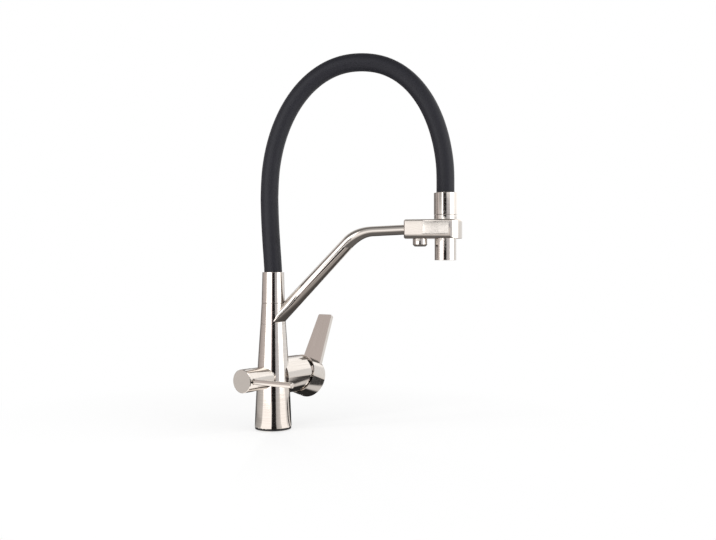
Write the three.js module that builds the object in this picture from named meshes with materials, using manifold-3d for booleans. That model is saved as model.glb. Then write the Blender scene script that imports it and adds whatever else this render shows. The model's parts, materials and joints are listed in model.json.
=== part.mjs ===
// Three way filtered kitchen tap: a conical deck column with a side mixer lever and a filtered water knob,
// a swivelling arm that carries filtered water, and an arched rubber hose to a spray head docked in the arm.
// Millimetres, +Z up. The origin is the centre of the base on the worktop and +X runs along the spout.

import * as THREE from 'three';
import { mergeVertices } from 'three/addons/utils/BufferGeometryUtils.js';
import Module from 'manifold-3d';

const wasm = await Module();
wasm.setup();

// ---------------------------------------------------------------- driving dimensions

const fit = 0.3; // gap between pieces that seat on each other
const running = 0.45; // clearance of pieces that slide or turn

// column
const columnFootR = 25;
const columnWaistR = 22.3; // pull of the taper's curve half way up
const columnTopZ = 142;
const footChamfer = 0.8;
const gasketT = 2;
const gasketInset = 0.5;
const insertR = 20.2;
const insertT = 12;
const inletR = 4.9;
const inletBoreR = 3;
const inletReach = 12.2; // inlets' distance from the column's axis
const inletSpread = 40; // degrees, hot and cold either side of the valve axis
const studHoleR = 3.2;
const studReach = 14.8;
const studSpread = 114; // degrees
const studDepth = 9;

// valve axis, across the column
const valveZ = 70;
const valveTurn = 58; // degrees, from the spout's rest direction to the mixer side

// mixer side
const housingWall = 2.5;
const cartridgeR = 19.8;
const cartridgeBack = 24;
const cartridgeL = 26;
const cartridgeWall = 3.5;
const cartridgeFloor = 2.2;
const discT = 3.3;
const portR = 3.5;
const portSpread = 8;
const portDrop = 3;
const outletRise = 9;
const drillStep = 0.2; // drillings that meet differ by this
const neckR = 9;
const neckPastPin = 5; // carrier's neck beyond the tilt pivot
const mouthGap = 3.5; // round the carrier's neck
const nutThreadStep = 2.4; // nut's thread beyond the cartridge's radius
const nutL = 4;
const nutCrown = 3;
const pivotL = 52; // tilt pivot, from the column's axis
const pivotPinR = 1.6;
const sealT = 1.1;
const sealInset = 2; // seal's edge inside the cartridge's
const sealRim = 1; // round its widest port

// mixer handle, about its own hub axis
const handleTilt = 20; // degrees, open
const leverLean = 7; // degrees, beyond the hub's tilt
const skirtGap = 1; // between the housing and the skirt round it
const skirtWall = 1.3;
const skirtStart = 2.7;
const hubEnd = 30.3;
const leverT = 5.3;
const leverL = 69.5;
const leverFootW = 34;
const leverTipW = 23.4;
const leverCornerR = 2;
const leverEdge = 0.6;
const leverFootShare = 0.55; // of the hub's radius, where the plate starts
const hubEdge = 0.8;
const bossR = 9;
const bossL = 12;
const stemW = 6;
const stemH = 8;
const stemTail = 8; // behind the pivot
const grubR = 2.4;

// filter side
const filterBossR = 15.2;
const filterBossEnd = 45;
const filterValveR = 9.7;
const filterValveBack = 18.3;
const filterValveHead = 1.2; // stands out of the boss
const filterValveFloor = 4;
const spindleR = 4.2;
const spindleGrooveBack = 8; // from the boss's face
const spindleGrooveW = 2.4;
const sealGrooveDepth = 0.8;
const spindleWall = 2; // of the knob beyond the spindle's end
const knobR = 15.5;
const knobL = 17.3;
const knobEdge = 0.8;
const leverPinR = 3.5;
const leverPinL = 80; // tip, from the valve axis
const leverPinRoot = 7;
const leverPinSet = 10.5; // from the knob's inner face
const leverPinTip = 0.7;
const knobGrubSunk = 4;

// swivel
const ringH = 28;
const ringWall = 1.5; // round the hose socket's neck
const ringTaper = 1.5;
const spigotPlay = 0.4; // between the spigot and the hose socket
const spigotBoreR = 4;
const spigotThreadR = 8.5;
const spigotThreadL = 18;
const spigotFlangeT = 4;
const spigotTail = 12; // stands into the hose socket
const oRingSectionR = 1.2;
const oRingLowH = 10;
const oRingClear = 2.5; // upper O-ring below the socket's neck
const galleryW = 4;
const keeperH = 4.5; // keeper groove above the ring's foot
const keeperW = 3;
const keeperSunk = 3;
const grooveDepth = 2.2;
const washerT = 2;
const washerRim = 1.8; // of the column outside the washer
const galleryDrillR = 1.3;

// hose and its socket
const hoseR = 12.1;
const hoseBoreR = 5.6;
const hoseSeat = 20; // length held in the socket
const socketH = 42;
const socketWall = 2.2;
const socketNeckL = 6;
const socketNeckWall = 1.5;
const tailBoreR = 3.2;
const tailFlangeT = 4;
const barbL = 22;
const barbH = 0.25;
const barbRun = 2;
const barbCount = 3;
const archTopZ = 495.8; // highest point of the hose's centre line
const archSpringDrop = 2; // hose stands upright this far below the ferrule's top
const archLean = 5; // the socket side leans back by this much
const archCrownPast = 2; // crown beyond the middle of the reach
const archFullness = 2.08; // 2 is an ellipse, more is squarer
const archFullnessDock = 2.2;
const archBulge = 1.5; // dock side leans out by this much above the ferrule
const archBulgeLow = 0.6; // less than 1 sets the widest part lower

// arm
const armRootDrop = 0.4; // arm's axis crosses the column's this far below its top
const armCornerX = 115.2;
const armEntryDrop = 0.7; // arm's axis below the holder's middle
const armBendR = 49;
const armFootR = 9.8;
const armThickR = 8.9;
const armThinR = 6.8;
const armTaperL = 150; // from the foot's thickness to the next
const armRootInset = 0.15; // its sides leave the ring just inside the ring's own
const armRootL = 56;
const armWall = 1.8;
const armBoreR = 7;
const armPortR = 2; // where the bore opens into the swivel's gallery
const armPortL = 20;
const armLevelRise = 2.8; // degrees
const armSocketL = 9.5;

// holder and dock
const outletSpacing = 34.1; // from the filtered outlet to the spray's axis
const dockWall = 5.55;
const holderFoot = 257.2;
const holderH = 25.4;
const holderTail = 21.9; // from the filtered outlet back to the arm's end
const holderEndW = 13.4; // half width at the arm
const holderLowR = 4.3; // rounding of the bar's lower long edges
const holderTopR = 3; // and of the upper edges, which goes on round the dock
const holderEndR = 3; // and of the bar's end at the arm
const dockCreaseX = 3; // bar's sides meet the dock's round this far beyond its axis
const dockLinerWall = 1.6;
const dockLip = 2;

// filtered water nozzle
const nozzleX = 199.2;
const nozzleR = 9.8;
const nozzleDrop = 10.6;
const nozzleChamfer = 2.4;
const nozzleShoulder = 1.3;
const nozzleNeckL = 12;
const nozzleBoreR = 4;
const nozzleRim = 0.6;
const nozzleInsertL = 5;
const nozzleRecess = 0.4;
const nozzleHoles = 4;
const nozzleHoleR = 0.7;
const channelR = 4;

// spray head
const sprayR = 14.5;
const sprayDrop = 29.1; // below the holder's foot
const sprayFlangeLap = 0.4; // over the dock's liner
const sprayFlangeT = 5.7;
const sprayNeckR = 9.2;
const sprayNeckL = 6;
const sprayWall = 2.6;
const sprayRim = 1.6;
const sprayRoof = 6;
const aeratorL = 6.5;
const aeratorWall = 1.5;
const aeratorRecess = 0.6; // of its plate inside its rim, and of its rim inside the mouth
const aeratorPlateT = 1.5;
const aeratorHoles = 8;
const aeratorHoleR = 1.2;
const aeratorHoleShare = 0.62; // of the plate's radius, for the ring of holes
const checkValveR = 5.4;
const checkValveL = 12;
const checkValveGroove = [4, 4.5, 6.5, 7]; // heights of the groove's corners
const checkValveBoreR = 2.2;
const ferruleWall = 3.1;
const ferruleH = 29.7;
const ferruleEdge = 0.5;

// facets
const fine = 32;
const medium = 20;
const coarse = 12;
const drilled = 8;

// ---------------------------------------------------------------- worked out from them

const rad = THREE.MathUtils.degToRad;
const dockX = nozzleX + outletSpacing;
const holderLeft = nozzleX - holderTail;
const holderTop = holderFoot + holderH;
const holderMidZ = holderFoot + holderH / 2;
const ringFootZ = columnTopZ + fit;
const ringTopZ = columnTopZ + ringH;
const socketBoreR = hoseR + fit;
const socketTopR = socketBoreR + socketWall;
const ringTopR = socketBoreR + socketNeckWall + fit + ringWall;
const columnTopR = ringTopR + ringTaper;
const washerOuterR = columnTopR - washerRim;
const spigotR = socketBoreR - spigotPlay;
const ringBoreR = socketBoreR + fit;
const oRingHighH = ringH - socketNeckL - oRingClear;
const socketFootZ = ringTopZ + fit;
const socketTopZ = ringTopZ + socketH;
const hoseFootZ = socketTopZ - hoseSeat;
const sprayFlangeZ = holderTop + fit;
const ferruleZ = sprayFlangeZ + sprayFlangeT + fit;
const ferruleTopZ = ferruleZ + ferruleH;
const ferruleR = hoseR + fit + ferruleWall;
const hoseEndZ = ferruleZ + sprayNeckL + tailFlangeT;
const archSpringZ = ferruleTopZ - archSpringDrop;
const archCrownX = dockX / 2 + archCrownPast;
const dockBoreR = sprayR + running;
const dockR = dockBoreR + dockLinerWall + fit + dockWall;
const sprayFlangeR = dockBoreR + sprayFlangeLap;
const cartridgeFront = cartridgeBack + cartridgeL;
const nutThreadR = cartridgeR + nutThreadStep;
const mouthR = neckR + mouthGap;
const housingR = nutThreadR + fit + housingWall;
const housingEnd = cartridgeFront + nutL;
const nozzleNeckR = nozzleR - nozzleShoulder;
const nozzleMouthR = nozzleR - nozzleChamfer - nozzleRim;
const armRootW = columnTopR - armRootInset;
const armCornerZ = holderMidZ - armEntryDrop - (holderLeft - armCornerX) * Math.tan(rad(armLevelRise));
const armCorner = new THREE.Vector3(armCornerX, 0, armCornerZ);
const armRise = THREE.MathUtils.radToDeg(Math.atan2(armCornerZ - columnTopZ + armRootDrop, armCornerX));
const dockCreaseW = Math.sqrt(dockR ** 2 - dockCreaseX ** 2);
const holderFlare = (dockCreaseW - holderEndW) / (dockX + dockCreaseX - holderLeft);

// ---------------------------------------------------------------- shape helpers

function sixVolumes(position, index) {
  const a = new THREE.Vector3();
  const b = new THREE.Vector3();
  const c = new THREE.Vector3();
  let sum = 0;
  for (let i = 0; i < index.length; i += 3) {
    a.fromBufferAttribute(position, index[i]);
    b.fromBufferAttribute(position, index[i + 1]);
    c.fromBufferAttribute(position, index[i + 2]);
    sum += a.dot(b.cross(c));
  }
  return sum;
}

// Merges shared corners, drops empty triangles and turns the faces outwards.
function closed(geometry) {
  geometry.deleteAttribute('normal');
  geometry.deleteAttribute('uv');
  const merged = mergeVertices(geometry, 1e-4);
  const corners = merged.index.array;
  const kept = [];
  for (let i = 0; i < corners.length; i += 3) {
    const [a, b, c] = [corners[i], corners[i + 1], corners[i + 2]];
    if (a !== b && b !== c && c !== a) {
      kept.push(a, b, c);
    }
  }
  if (sixVolumes(merged.attributes.position, kept) < 0) {
    kept.reverse();
  }
  merged.setIndex(kept);
  return merged;
}

function toSolid(geometry) {
  const vertProperties = new Float32Array(geometry.attributes.position.array);
  const triVerts = new Uint32Array(geometry.index.array);
  return new wasm.Manifold(new wasm.Mesh({ numProp: 3, vertProperties, triVerts }));
}

function toGeometry(solid) {
  const mesh = solid.getMesh();
  const geometry = new THREE.BufferGeometry();
  geometry.setAttribute('position', new THREE.BufferAttribute(new Float32Array(mesh.vertProperties), 3));
  geometry.setIndex(Array.from(mesh.triVerts));
  return geometry;
}

function cut(body, ...tools) {
  return toGeometry(tools.reduce((left, tool) => left.subtract(toSolid(tool)), toSolid(body)));
}

function common(body, other) {
  return toGeometry(toSolid(body).intersect(toSolid(other)));
}

function join(body, ...others) {
  return toGeometry(others.reduce((sum, other) => sum.add(toSolid(other)), toSolid(body)));
}

// Turns an outline of [radius, height] pairs about Z.
function turned(outline, steps = medium) {
  const points = outline.map(([r, z]) => new THREE.Vector2(r, z));
  points.push(points[0].clone());
  return closed(new THREE.LatheGeometry(points, steps).rotateX(Math.PI / 2));
}

// The same about +X or, with side = -1, about -X.
function turnedX(outline, steps = medium, side = 1) {
  return turned(outline, steps).rotateY(side * Math.PI / 2);
}

function ring(outerR, innerR, low, high, steps = medium) {
  return turned([[innerR, low], [outerR, low], [outerR, high], [innerR, high]], steps);
}

// A round bar between two points, each [x, y, z].
function rod(radius, from, to, steps = coarse) {
  const start = new THREE.Vector3(...from);
  const end = new THREE.Vector3(...to);
  const way = end.clone().sub(start);
  const bar = new THREE.CylinderGeometry(radius, radius, way.length(), steps);
  bar.applyQuaternion(new THREE.Quaternion().setFromUnitVectors(new THREE.Vector3(0, 1, 0), way.normalize()));
  bar.translate(...start.add(end).multiplyScalar(0.5).toArray());
  return closed(bar);
}

function box(low, high) {
  const size = low.map((value, i) => high[i] - value);
  const block = new THREE.BoxGeometry(...size);
  block.translate(...low.map((value, i) => (value + high[i]) / 2));
  return closed(block);
}

// A skin over cross-sections of equal count, closed at both ends.
function loft(sections) {
  const count = sections[0].length;
  const points = sections.flat();
  const faces = [];
  for (let s = 0; s < sections.length - 1; s += 1) {
    for (let i = 0; i < count; i += 1) {
      const a = s * count + i;
      const b = s * count + ((i + 1) % count);
      faces.push(a, b, a + count, b, b + count, a + count);
    }
  }
  const last = (sections.length - 1) * count;
  for (let i = 1; i < count - 1; i += 1) {
    faces.push(0, i + 1, i, last, last + i, last + i + 1);
  }
  const geometry = new THREE.BufferGeometry().setFromPoints(points);
  geometry.setIndex(faces);
  return closed(geometry);
}

// A grub screw along +X from its point, with a hexagon socket in its outer end.
function grubScrew(radius, length) {
  const point = radius * 0.4;
  const outline = [[0, 0], [radius - point, 0], [radius, point], [radius, length], [0, length]];
  const socketShare = 0.55;
  const socket = rod(radius * socketShare, [0, 0, length * socketShare], [0, 0, length + 1], 6);
  return cut(turned(outline, coarse), socket).rotateY(Math.PI / 2);
}

// From the valve axis's own frame to the tap's.
function fromValve(geometry) {
  return geometry.rotateZ(rad(valveTurn)).translate(0, 0, valveZ);
}

function polar(reach, degrees) {
  return [reach * Math.cos(rad(degrees)), reach * Math.sin(rad(degrees))];
}

// ---------------------------------------------------------------- group and materials

const tap = new THREE.Group();
const valves = new THREE.Group();
valves.position.z = valveZ;
valves.rotation.z = rad(valveTurn);
tap.add(valves);

const handle = new THREE.Group();
handle.position.x = pivotL;
handle.rotation.y = rad(handleTilt);
valves.add(handle);

const finishes = {
  nickel: { color: 0xc9c0b8, roughness: 0.3, metalness: 1 },
  brass: { color: 0xc2a25c, roughness: 0.4, metalness: 1 },
  steel: { color: 0xb4b6b8, roughness: 0.35, metalness: 1 },
  hose: { color: 0x2b2c33, roughness: 0.5, metalness: 0 },
  rubber: { color: 0x1c1c1e, roughness: 0.7, metalness: 0 },
  ceramic: { color: 0xf1efe9, roughness: 0.25, metalness: 0 },
  whitePlastic: { color: 0xe4e4e0, roughness: 0.5, metalness: 0 },
  greyPlastic: { color: 0x8d8f92, roughness: 0.5, metalness: 0 },
};

function place(parent, name, geometry, finish) {
  const mesh = new THREE.Mesh(geometry, new THREE.MeshStandardMaterial(finishes[finish]));
  mesh.name = name;
  parent.add(mesh);
  return mesh;
}

// ---------------------------------------------------------------- column and base

function columnRadius(z) {
  const t = z / columnTopZ;
  return (1 - t) ** 2 * columnFootR + 2 * t * (1 - t) * columnWaistR + t ** 2 * columnTopR;
}

const inletSites = {
  hot_inlet: polar(inletReach, inletSpread),
  cold_inlet: polar(inletReach, -inletSpread),
  filter_inlet: polar(inletReach, 180),
};
const studSites = [polar(studReach, studSpread), polar(studReach, -studSpread)];

function columnBlank() {
  const footZ = gasketT + fit;
  const outline = [[0, footZ], [columnRadius(footZ) - footChamfer, footZ]];
  const rows = 6;
  for (let i = 0; i <= rows; i += 1) {
    const z = footZ + footChamfer + (columnTopZ - footZ - footChamfer) * i / rows;
    outline.push([columnRadius(z), z]);
  }
  outline.push([0, columnTopZ]);
  const housing = turnedX([[0, 0], [housingR, 0], [housingR, housingEnd - hubEdge],
    [housingR - hubEdge, housingEnd], [0, housingEnd]], fine);
  const filterBoss = turnedX([[0, 0], [filterBossR, 0], [filterBossR, filterBossEnd], [0, filterBossEnd]],
    medium, -1);
  return join(turned(outline, fine), fromValve(housing), fromValve(filterBoss));
}

// Waterways and seats, in the valve axis's frame.
function waterways() {
  const insertTop = insertT + fit - valveZ;
  const seat = cartridgeBack - sealT - 2 * fit;
  const deep = filterValveBack - fit;
  const threadFoot = columnTopZ - spigotFlangeT - spigotThreadL - valveZ;
  const ways = [
    turnedX([[0, seat], [cartridgeR + fit, seat], [cartridgeR + fit, cartridgeFront + fit],
      [nutThreadR + fit, cartridgeFront + fit], [nutThreadR + fit, housingEnd + 1], [0, housingEnd + 1]], fine),
    turnedX([[0, deep], [filterValveR + fit, deep], [filterValveR + fit, filterBossEnd + 1],
      [0, filterBossEnd + 1]], medium, -1),
  ];
  [inletSites.hot_inlet, inletSites.cold_inlet].forEach(([x, y]) => {
    const side = Math.sign(y) * portSpread;
    ways.push(rod(portR, [x, y, insertTop - fit], [x, side, portR - portDrop], drilled));
    ways.push(rod(portR - drillStep, [x, side, -portDrop], [seat + 1, side, -portDrop], drilled));
  });
  const [filterX] = inletSites.filter_inlet;
  ways.push(rod(portR, [filterX, 0, insertTop - fit], [filterX, 0, portR], drilled));
  ways.push(rod(portR - drillStep, [filterX, 0, 0], [-deep - 1, 0, 0], drilled));
  ways.push(rod(portR, [seat + 1, 0, outletRise], [0, 0, outletRise], drilled));
  ways.push(rod(portR + drillStep, [0, 0, outletRise - portR], [0, 0, threadFoot + 1], drilled));
  const galleryStart = [-filterValveBack - 1, 0, filterValveR - 2];
  const galleryEnd = [-(spigotBoreR + spigotThreadR) / 2, 0, threadFoot + 1];
  ways.push(rod(galleryDrillR, galleryStart, galleryEnd, drilled));
  return ways;
}

function columnShell() {
  const flangeZ = columnTopZ - spigotFlangeT - fit;
  const foot = ring(insertR + fit, 0, 0, insertT + fit, fine);
  const thread = ring(spigotThreadR + fit, 0, flangeZ - spigotThreadL, flangeZ + 1, medium);
  const flange = ring(spigotR + 2 * fit, 0, flangeZ, columnTopZ + 1, medium);
  const washerBed = ring(washerOuterR + fit, 0, columnTopZ - washerT / 2, columnTopZ + 1, medium);
  return cut(columnBlank(), ...waterways().map(fromValve), foot, thread, flange, washerBed);
}

function baseInsert() {
  const holes = Object.values(inletSites).map(([x, y]) => rod(inletR + fit, [x, y, -1], [x, y, insertT + 1]));
  const studs = studSites.map(([x, y]) => rod(studHoleR, [x, y, -1], [x, y, studDepth], drilled));
  return cut(ring(insertR, 0, 0, insertT, fine), ...holes, ...studs);
}

function inlet(site) {
  const [x, y] = site;
  return ring(inletR, inletBoreR, fit, insertT - fit, coarse).translate(x, y, 0);
}

place(tap, 'column_shell', columnShell(), 'nickel');
place(tap, 'base_gasket', ring(columnFootR - gasketInset, insertR + fit, 0, gasketT, fine), 'rubber');

const base = new THREE.Group();
base.rotation.z = rad(valveTurn);
tap.add(base);
place(base, 'base_insert', baseInsert(), 'brass');
Object.entries(inletSites).forEach(([name, site]) => place(base, name, inlet(site), 'brass'));

// ---------------------------------------------------------------- mixer cartridge

function portHoles(low, high) {
  const sites = [[portSpread, -portDrop], [-portSpread, -portDrop], [0, outletRise]];
  return sites.map(([y, z]) => rod(portR, [low, y, z], [high, y, z], drilled));
}

function cartridgeHousing() {
  const floor = cartridgeBack + cartridgeFloor;
  const lip = cartridgeFront - cartridgeWall;
  const innerR = cartridgeR - cartridgeWall;
  const shell = turnedX([[0, cartridgeBack], [cartridgeR, cartridgeBack], [cartridgeR, cartridgeFront],
    [mouthR, cartridgeFront], [mouthR, lip], [innerR, lip], [innerR, floor], [0, floor]]);
  return cut(shell, ...portHoles(cartridgeBack - 1, floor + 1));
}

function ceramicDisc(start) {
  const outerR = cartridgeR - cartridgeWall - fit;
  const disc = turnedX([[0, start], [outerR, start], [outerR, start + discT], [0, start + discT]], medium);
  return cut(disc, ...portHoles(start - 1, start + discT + 1));
}

function carrier(start) {
  const drumR = cartridgeR - cartridgeWall - fit;
  const drumEnd = cartridgeFront - cartridgeWall - fit;
  const neckEnd = pivotL + neckPastPin;
  const drum = turnedX([[0, start], [drumR, start], [drumR, drumEnd], [neckR, drumEnd], [neckR, neckEnd],
    [0, neckEnd]]);
  const slot = box([pivotL - stemTail - 2, -stemW / 2 - running, -neckR - 1],
    [neckEnd + 1, stemW / 2 + running, neckR + 1]);
  const pinHole = rod(pivotPinR + fit, [pivotL, -neckR - 1, 0], [pivotL, neckR + 1, 0], drilled);
  return cut(drum, slot, pinHole);
}

function cartridgeNut() {
  const back = cartridgeFront + fit;
  const flat = housingEnd;
  const crownR = (nutThreadR + mouthR) / 2;
  return turnedX([[mouthR, back], [nutThreadR, back], [nutThreadR, flat], [crownR, flat + nutCrown],
    [mouthR, flat + nutCrown]], fine);
}

function cartridgeSeal() {
  const start = cartridgeBack - sealT - fit;
  const outerR = cartridgeR - sealInset;
  const innerR = outletRise + portR + sealRim;
  return turnedX([[innerR, start], [outerR, start], [outerR, start + sealT], [innerR, start + sealT]]);
}

const fixedDiscStart = cartridgeBack + cartridgeFloor + fit;
const turningDiscStart = fixedDiscStart + discT + fit;
place(valves, 'cartridge_seal', cartridgeSeal(), 'rubber');
place(valves, 'cartridge_housing', cartridgeHousing(), 'whitePlastic');
place(valves, 'fixed_ceramic_disc', ceramicDisc(fixedDiscStart), 'ceramic');
place(valves, 'turning_ceramic_disc', ceramicDisc(turningDiscStart), 'ceramic');
place(valves, 'cartridge_carrier', carrier(turningDiscStart + discT + fit), 'greyPlastic');
place(valves, 'cartridge_nut', cartridgeNut(), 'brass');
const pinHalf = Math.sqrt(neckR ** 2 - pivotPinR ** 2) - fit;
place(valves, 'tilt_pin', rod(pivotPinR, [pivotL, -pinHalf, 0], [pivotL, pinHalf, 0]), 'steel');

// ---------------------------------------------------------------- mixer handle

const hubInnerR = housingR + skirtGap;
const hubOuterR = hubInnerR + skirtWall;
const hubFloor = hubEnd - leverT;
const grubSite = hubFloor - bossL / 2;

function leverPlate() {
  const outline = new THREE.Shape();
  const foot = hubOuterR * leverFootShare;
  const top = hubOuterR + leverL;
  const footHalf = leverFootW / 2;
  const tipHalf = leverTipW / 2;
  const corner = Math.min(leverCornerR, tipHalf);
  outline.moveTo(-footHalf, foot);
  outline.lineTo(footHalf, foot);
  outline.lineTo(tipHalf, top - corner);
  outline.quadraticCurveTo(tipHalf, top, tipHalf - corner, top);
  outline.lineTo(corner - tipHalf, top);
  outline.quadraticCurveTo(-tipHalf, top, -tipHalf, top - corner);
  const plate = new THREE.ExtrudeGeometry(outline, {
    depth: leverT - 2 * leverEdge, bevelSize: leverEdge, bevelOffset: -leverEdge, bevelThickness: leverEdge,
    bevelSegments: 2, curveSegments: 3,
  });
  plate.translate(0, 0, leverEdge - leverT);
  plate.rotateX(Math.PI / 2);
  plate.rotateZ(Math.PI / 2);
  return closed(plate).translate(0, 0, -hubOuterR).rotateY(rad(leverLean)).translate(hubEnd, 0, hubOuterR);
}

function mixerHandle() {
  const blank = turnedX([[0, skirtStart], [hubOuterR, skirtStart], [hubOuterR, hubEnd - hubEdge],
    [hubOuterR - hubEdge, hubEnd], [0, hubEnd]], fine);
  const hollow = turnedX([[0, skirtStart - 1], [hubInnerR, skirtStart - 1], [hubInnerR, hubFloor], [0, hubFloor]],
    fine);
  const bossFoot = hubFloor - bossL;
  const boss = turnedX([[0, bossFoot], [bossR, bossFoot], [bossR, hubFloor + 1], [0, hubFloor + 1]], coarse);
  const socket = box([bossFoot - 1, -stemW / 2 - fit, -stemH / 2 - fit],
    [hubFloor + fit, stemW / 2 + fit, stemH / 2 + fit]);
  const grubHole = rod(grubR + fit, [grubSite, 0, -stemH / 2], [grubSite, 0, -bossR - 1], drilled);
  const keyHole = rod(grubR + fit, [grubSite, 0, -hubInnerR + 1], [grubSite, 0, -hubOuterR - 1], drilled);
  return cut(join(cut(join(blank, leverPlate()), hollow), boss), socket, grubHole, keyHole);
}

function leverStem() {
  const stem = box([-stemTail, -stemW / 2, -stemH / 2], [hubFloor, stemW / 2, stemH / 2]);
  return cut(stem, rod(pivotPinR + fit, [0, -stemW, 0], [0, stemW, 0], drilled));
}

place(handle, 'mixer_handle', mixerHandle(), 'nickel');
place(handle, 'lever_stem', leverStem(), 'brass');
const handleGrub = place(handle, 'handle_grub_screw', grubScrew(grubR, bossR - stemH / 2 - fit), 'steel');
handleGrub.position.set(grubSite, 0, -stemH / 2 - fit);
handleGrub.rotation.y = Math.PI / 2;

// ---------------------------------------------------------------- filter valve and knob

const filterHeadEnd = filterBossEnd + filterValveHead;
const knobStart = filterBossEnd + fit;
const knobEnd = knobStart + knobL;
const spindleEnd = knobEnd - spindleWall - fit;
const leverPinAt = knobStart + leverPinSet;

function filterValve() {
  const boreStart = filterValveBack + filterValveFloor;
  const body = turnedX([[0, filterValveBack], [filterValveR, filterValveBack], [filterValveR, filterHeadEnd],
    [spindleR + running, filterHeadEnd], [spindleR + running, boreStart], [0, boreStart]], medium, -1);
  const wayIn = rod(spindleR / 2, [-filterValveBack + 1, 0, 0], [-boreStart - 1, 0, 0], drilled);
  const outletX = -filterValveBack - 2;
  const wayOut = rod(galleryDrillR, [outletX, 0, 0], [outletX, 0, filterValveR + 1], drilled);
  return cut(body, wayIn, wayOut);
}

function filterSpindle() {
  const start = filterValveBack + filterValveFloor + fit;
  const groove = spindleR - sealGrooveDepth;
  const low = filterBossEnd - spindleGrooveBack;
  const high = low + spindleGrooveW;
  return turnedX([[0, start], [spindleR, start], [spindleR, low], [groove, low], [groove, high],
    [spindleR, high], [spindleR, spindleEnd], [0, spindleEnd]], coarse, -1);
}

function filterKnob() {
  const recess = filterHeadEnd + fit;
  const knob = turnedX([[filterValveR + fit, knobStart], [knobR, knobStart], [knobR, knobEnd - knobEdge],
    [knobR - knobEdge, knobEnd], [0, knobEnd], [0, spindleEnd + fit], [spindleR + fit, spindleEnd + fit],
    [spindleR + fit, recess], [filterValveR + fit, recess]], fine, -1);
  const pinHole = rod(leverPinR + fit, [-leverPinAt, -leverPinRoot, 0], [-leverPinAt, -knobR - 1, 0]);
  const grubHole = rod(grubR + fit, [-leverPinAt, spindleR, 0], [-leverPinAt, knobR + 1, 0], drilled);
  return cut(knob, pinHole, grubHole);
}

function filterLeverPin() {
  const start = leverPinRoot + fit;
  const pin = turned([[0, start], [leverPinR, start], [leverPinR, leverPinL - leverPinTip],
    [leverPinR - leverPinTip, leverPinL], [0, leverPinL]]);
  return pin.rotateX(Math.PI / 2).translate(-leverPinAt, 0, 0);
}

place(valves, 'filter_valve', filterValve(), 'brass');
place(valves, 'filter_spindle', filterSpindle(), 'brass');
place(valves, 'filter_knob', filterKnob(), 'nickel');
place(valves, 'filter_lever_pin', filterLeverPin(), 'nickel');
const knobGrub = place(valves, 'knob_grub_screw', grubScrew(grubR, knobR - spindleR - knobGrubSunk), 'steel');
knobGrub.position.set(-leverPinAt, spindleR + fit, 0);
knobGrub.rotation.z = Math.PI / 2;

// ---------------------------------------------------------------- swivel

const grooveR = spigotR - grooveDepth;
const galleryH = (oRingLowH + oRingHighH) / 2;
const spigotTopZ = ringTopZ + spigotTail;

function riserSpigot() {
  const flangeZ = columnTopZ - spigotFlangeT;
  const grooves = [
    [keeperH, keeperW], [oRingLowH, 2 * (oRingSectionR + fit)], [galleryH, galleryW],
    [oRingHighH, 2 * (oRingSectionR + fit)],
  ];
  const outline = [[spigotBoreR, flangeZ - spigotThreadL + fit], [spigotThreadR, flangeZ - spigotThreadL + fit],
    [spigotThreadR, flangeZ], [spigotR + fit, flangeZ], [spigotR + fit, columnTopZ - washerT],
    [spigotR, columnTopZ - washerT]];
  grooves.forEach(([height, width]) => {
    const low = columnTopZ + height - width / 2;
    outline.push([spigotR, low], [grooveR, low], [grooveR, low + width], [spigotR, low + width]);
  });
  outline.push([spigotR, spigotTopZ], [spigotBoreR, spigotTopZ]);
  const drillX = -(spigotBoreR + spigotThreadR) / 2;
  const galleryZ = columnTopZ + galleryH;
  const drill = rod(galleryDrillR, [drillX, 0, flangeZ - spigotThreadL - 1], [drillX, 0, galleryZ + 1], drilled);
  const sidePort = rod(galleryDrillR, [drillX, 0, galleryZ], [-spigotR - 1, 0, galleryZ], drilled);
  return cut(turned(outline, coarse), drill, sidePort);
}

function oRing(height) {
  const centreR = (grooveR + ringBoreR) / 2;
  const section = oRingSectionR - fit / 3;
  return closed(new THREE.TorusGeometry(centreR, section, 6, coarse)).translate(0, 0, columnTopZ + height);
}

function swivelWasher() {
  const low = columnTopZ - washerT / 2 + fit;
  return ring(washerOuterR, spigotR + 2 * fit, low, low + washerT);
}

const spigot = place(tap, 'riser_spigot', riserSpigot(), 'brass');
spigot.rotation.z = rad(valveTurn);
place(tap, 'lower_o_ring', oRing(oRingLowH), 'rubber');
place(tap, 'upper_o_ring', oRing(oRingHighH), 'rubber');
place(tap, 'swivel_washer', swivelWasher(), 'whitePlastic');

// ---------------------------------------------------------------- arm

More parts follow.
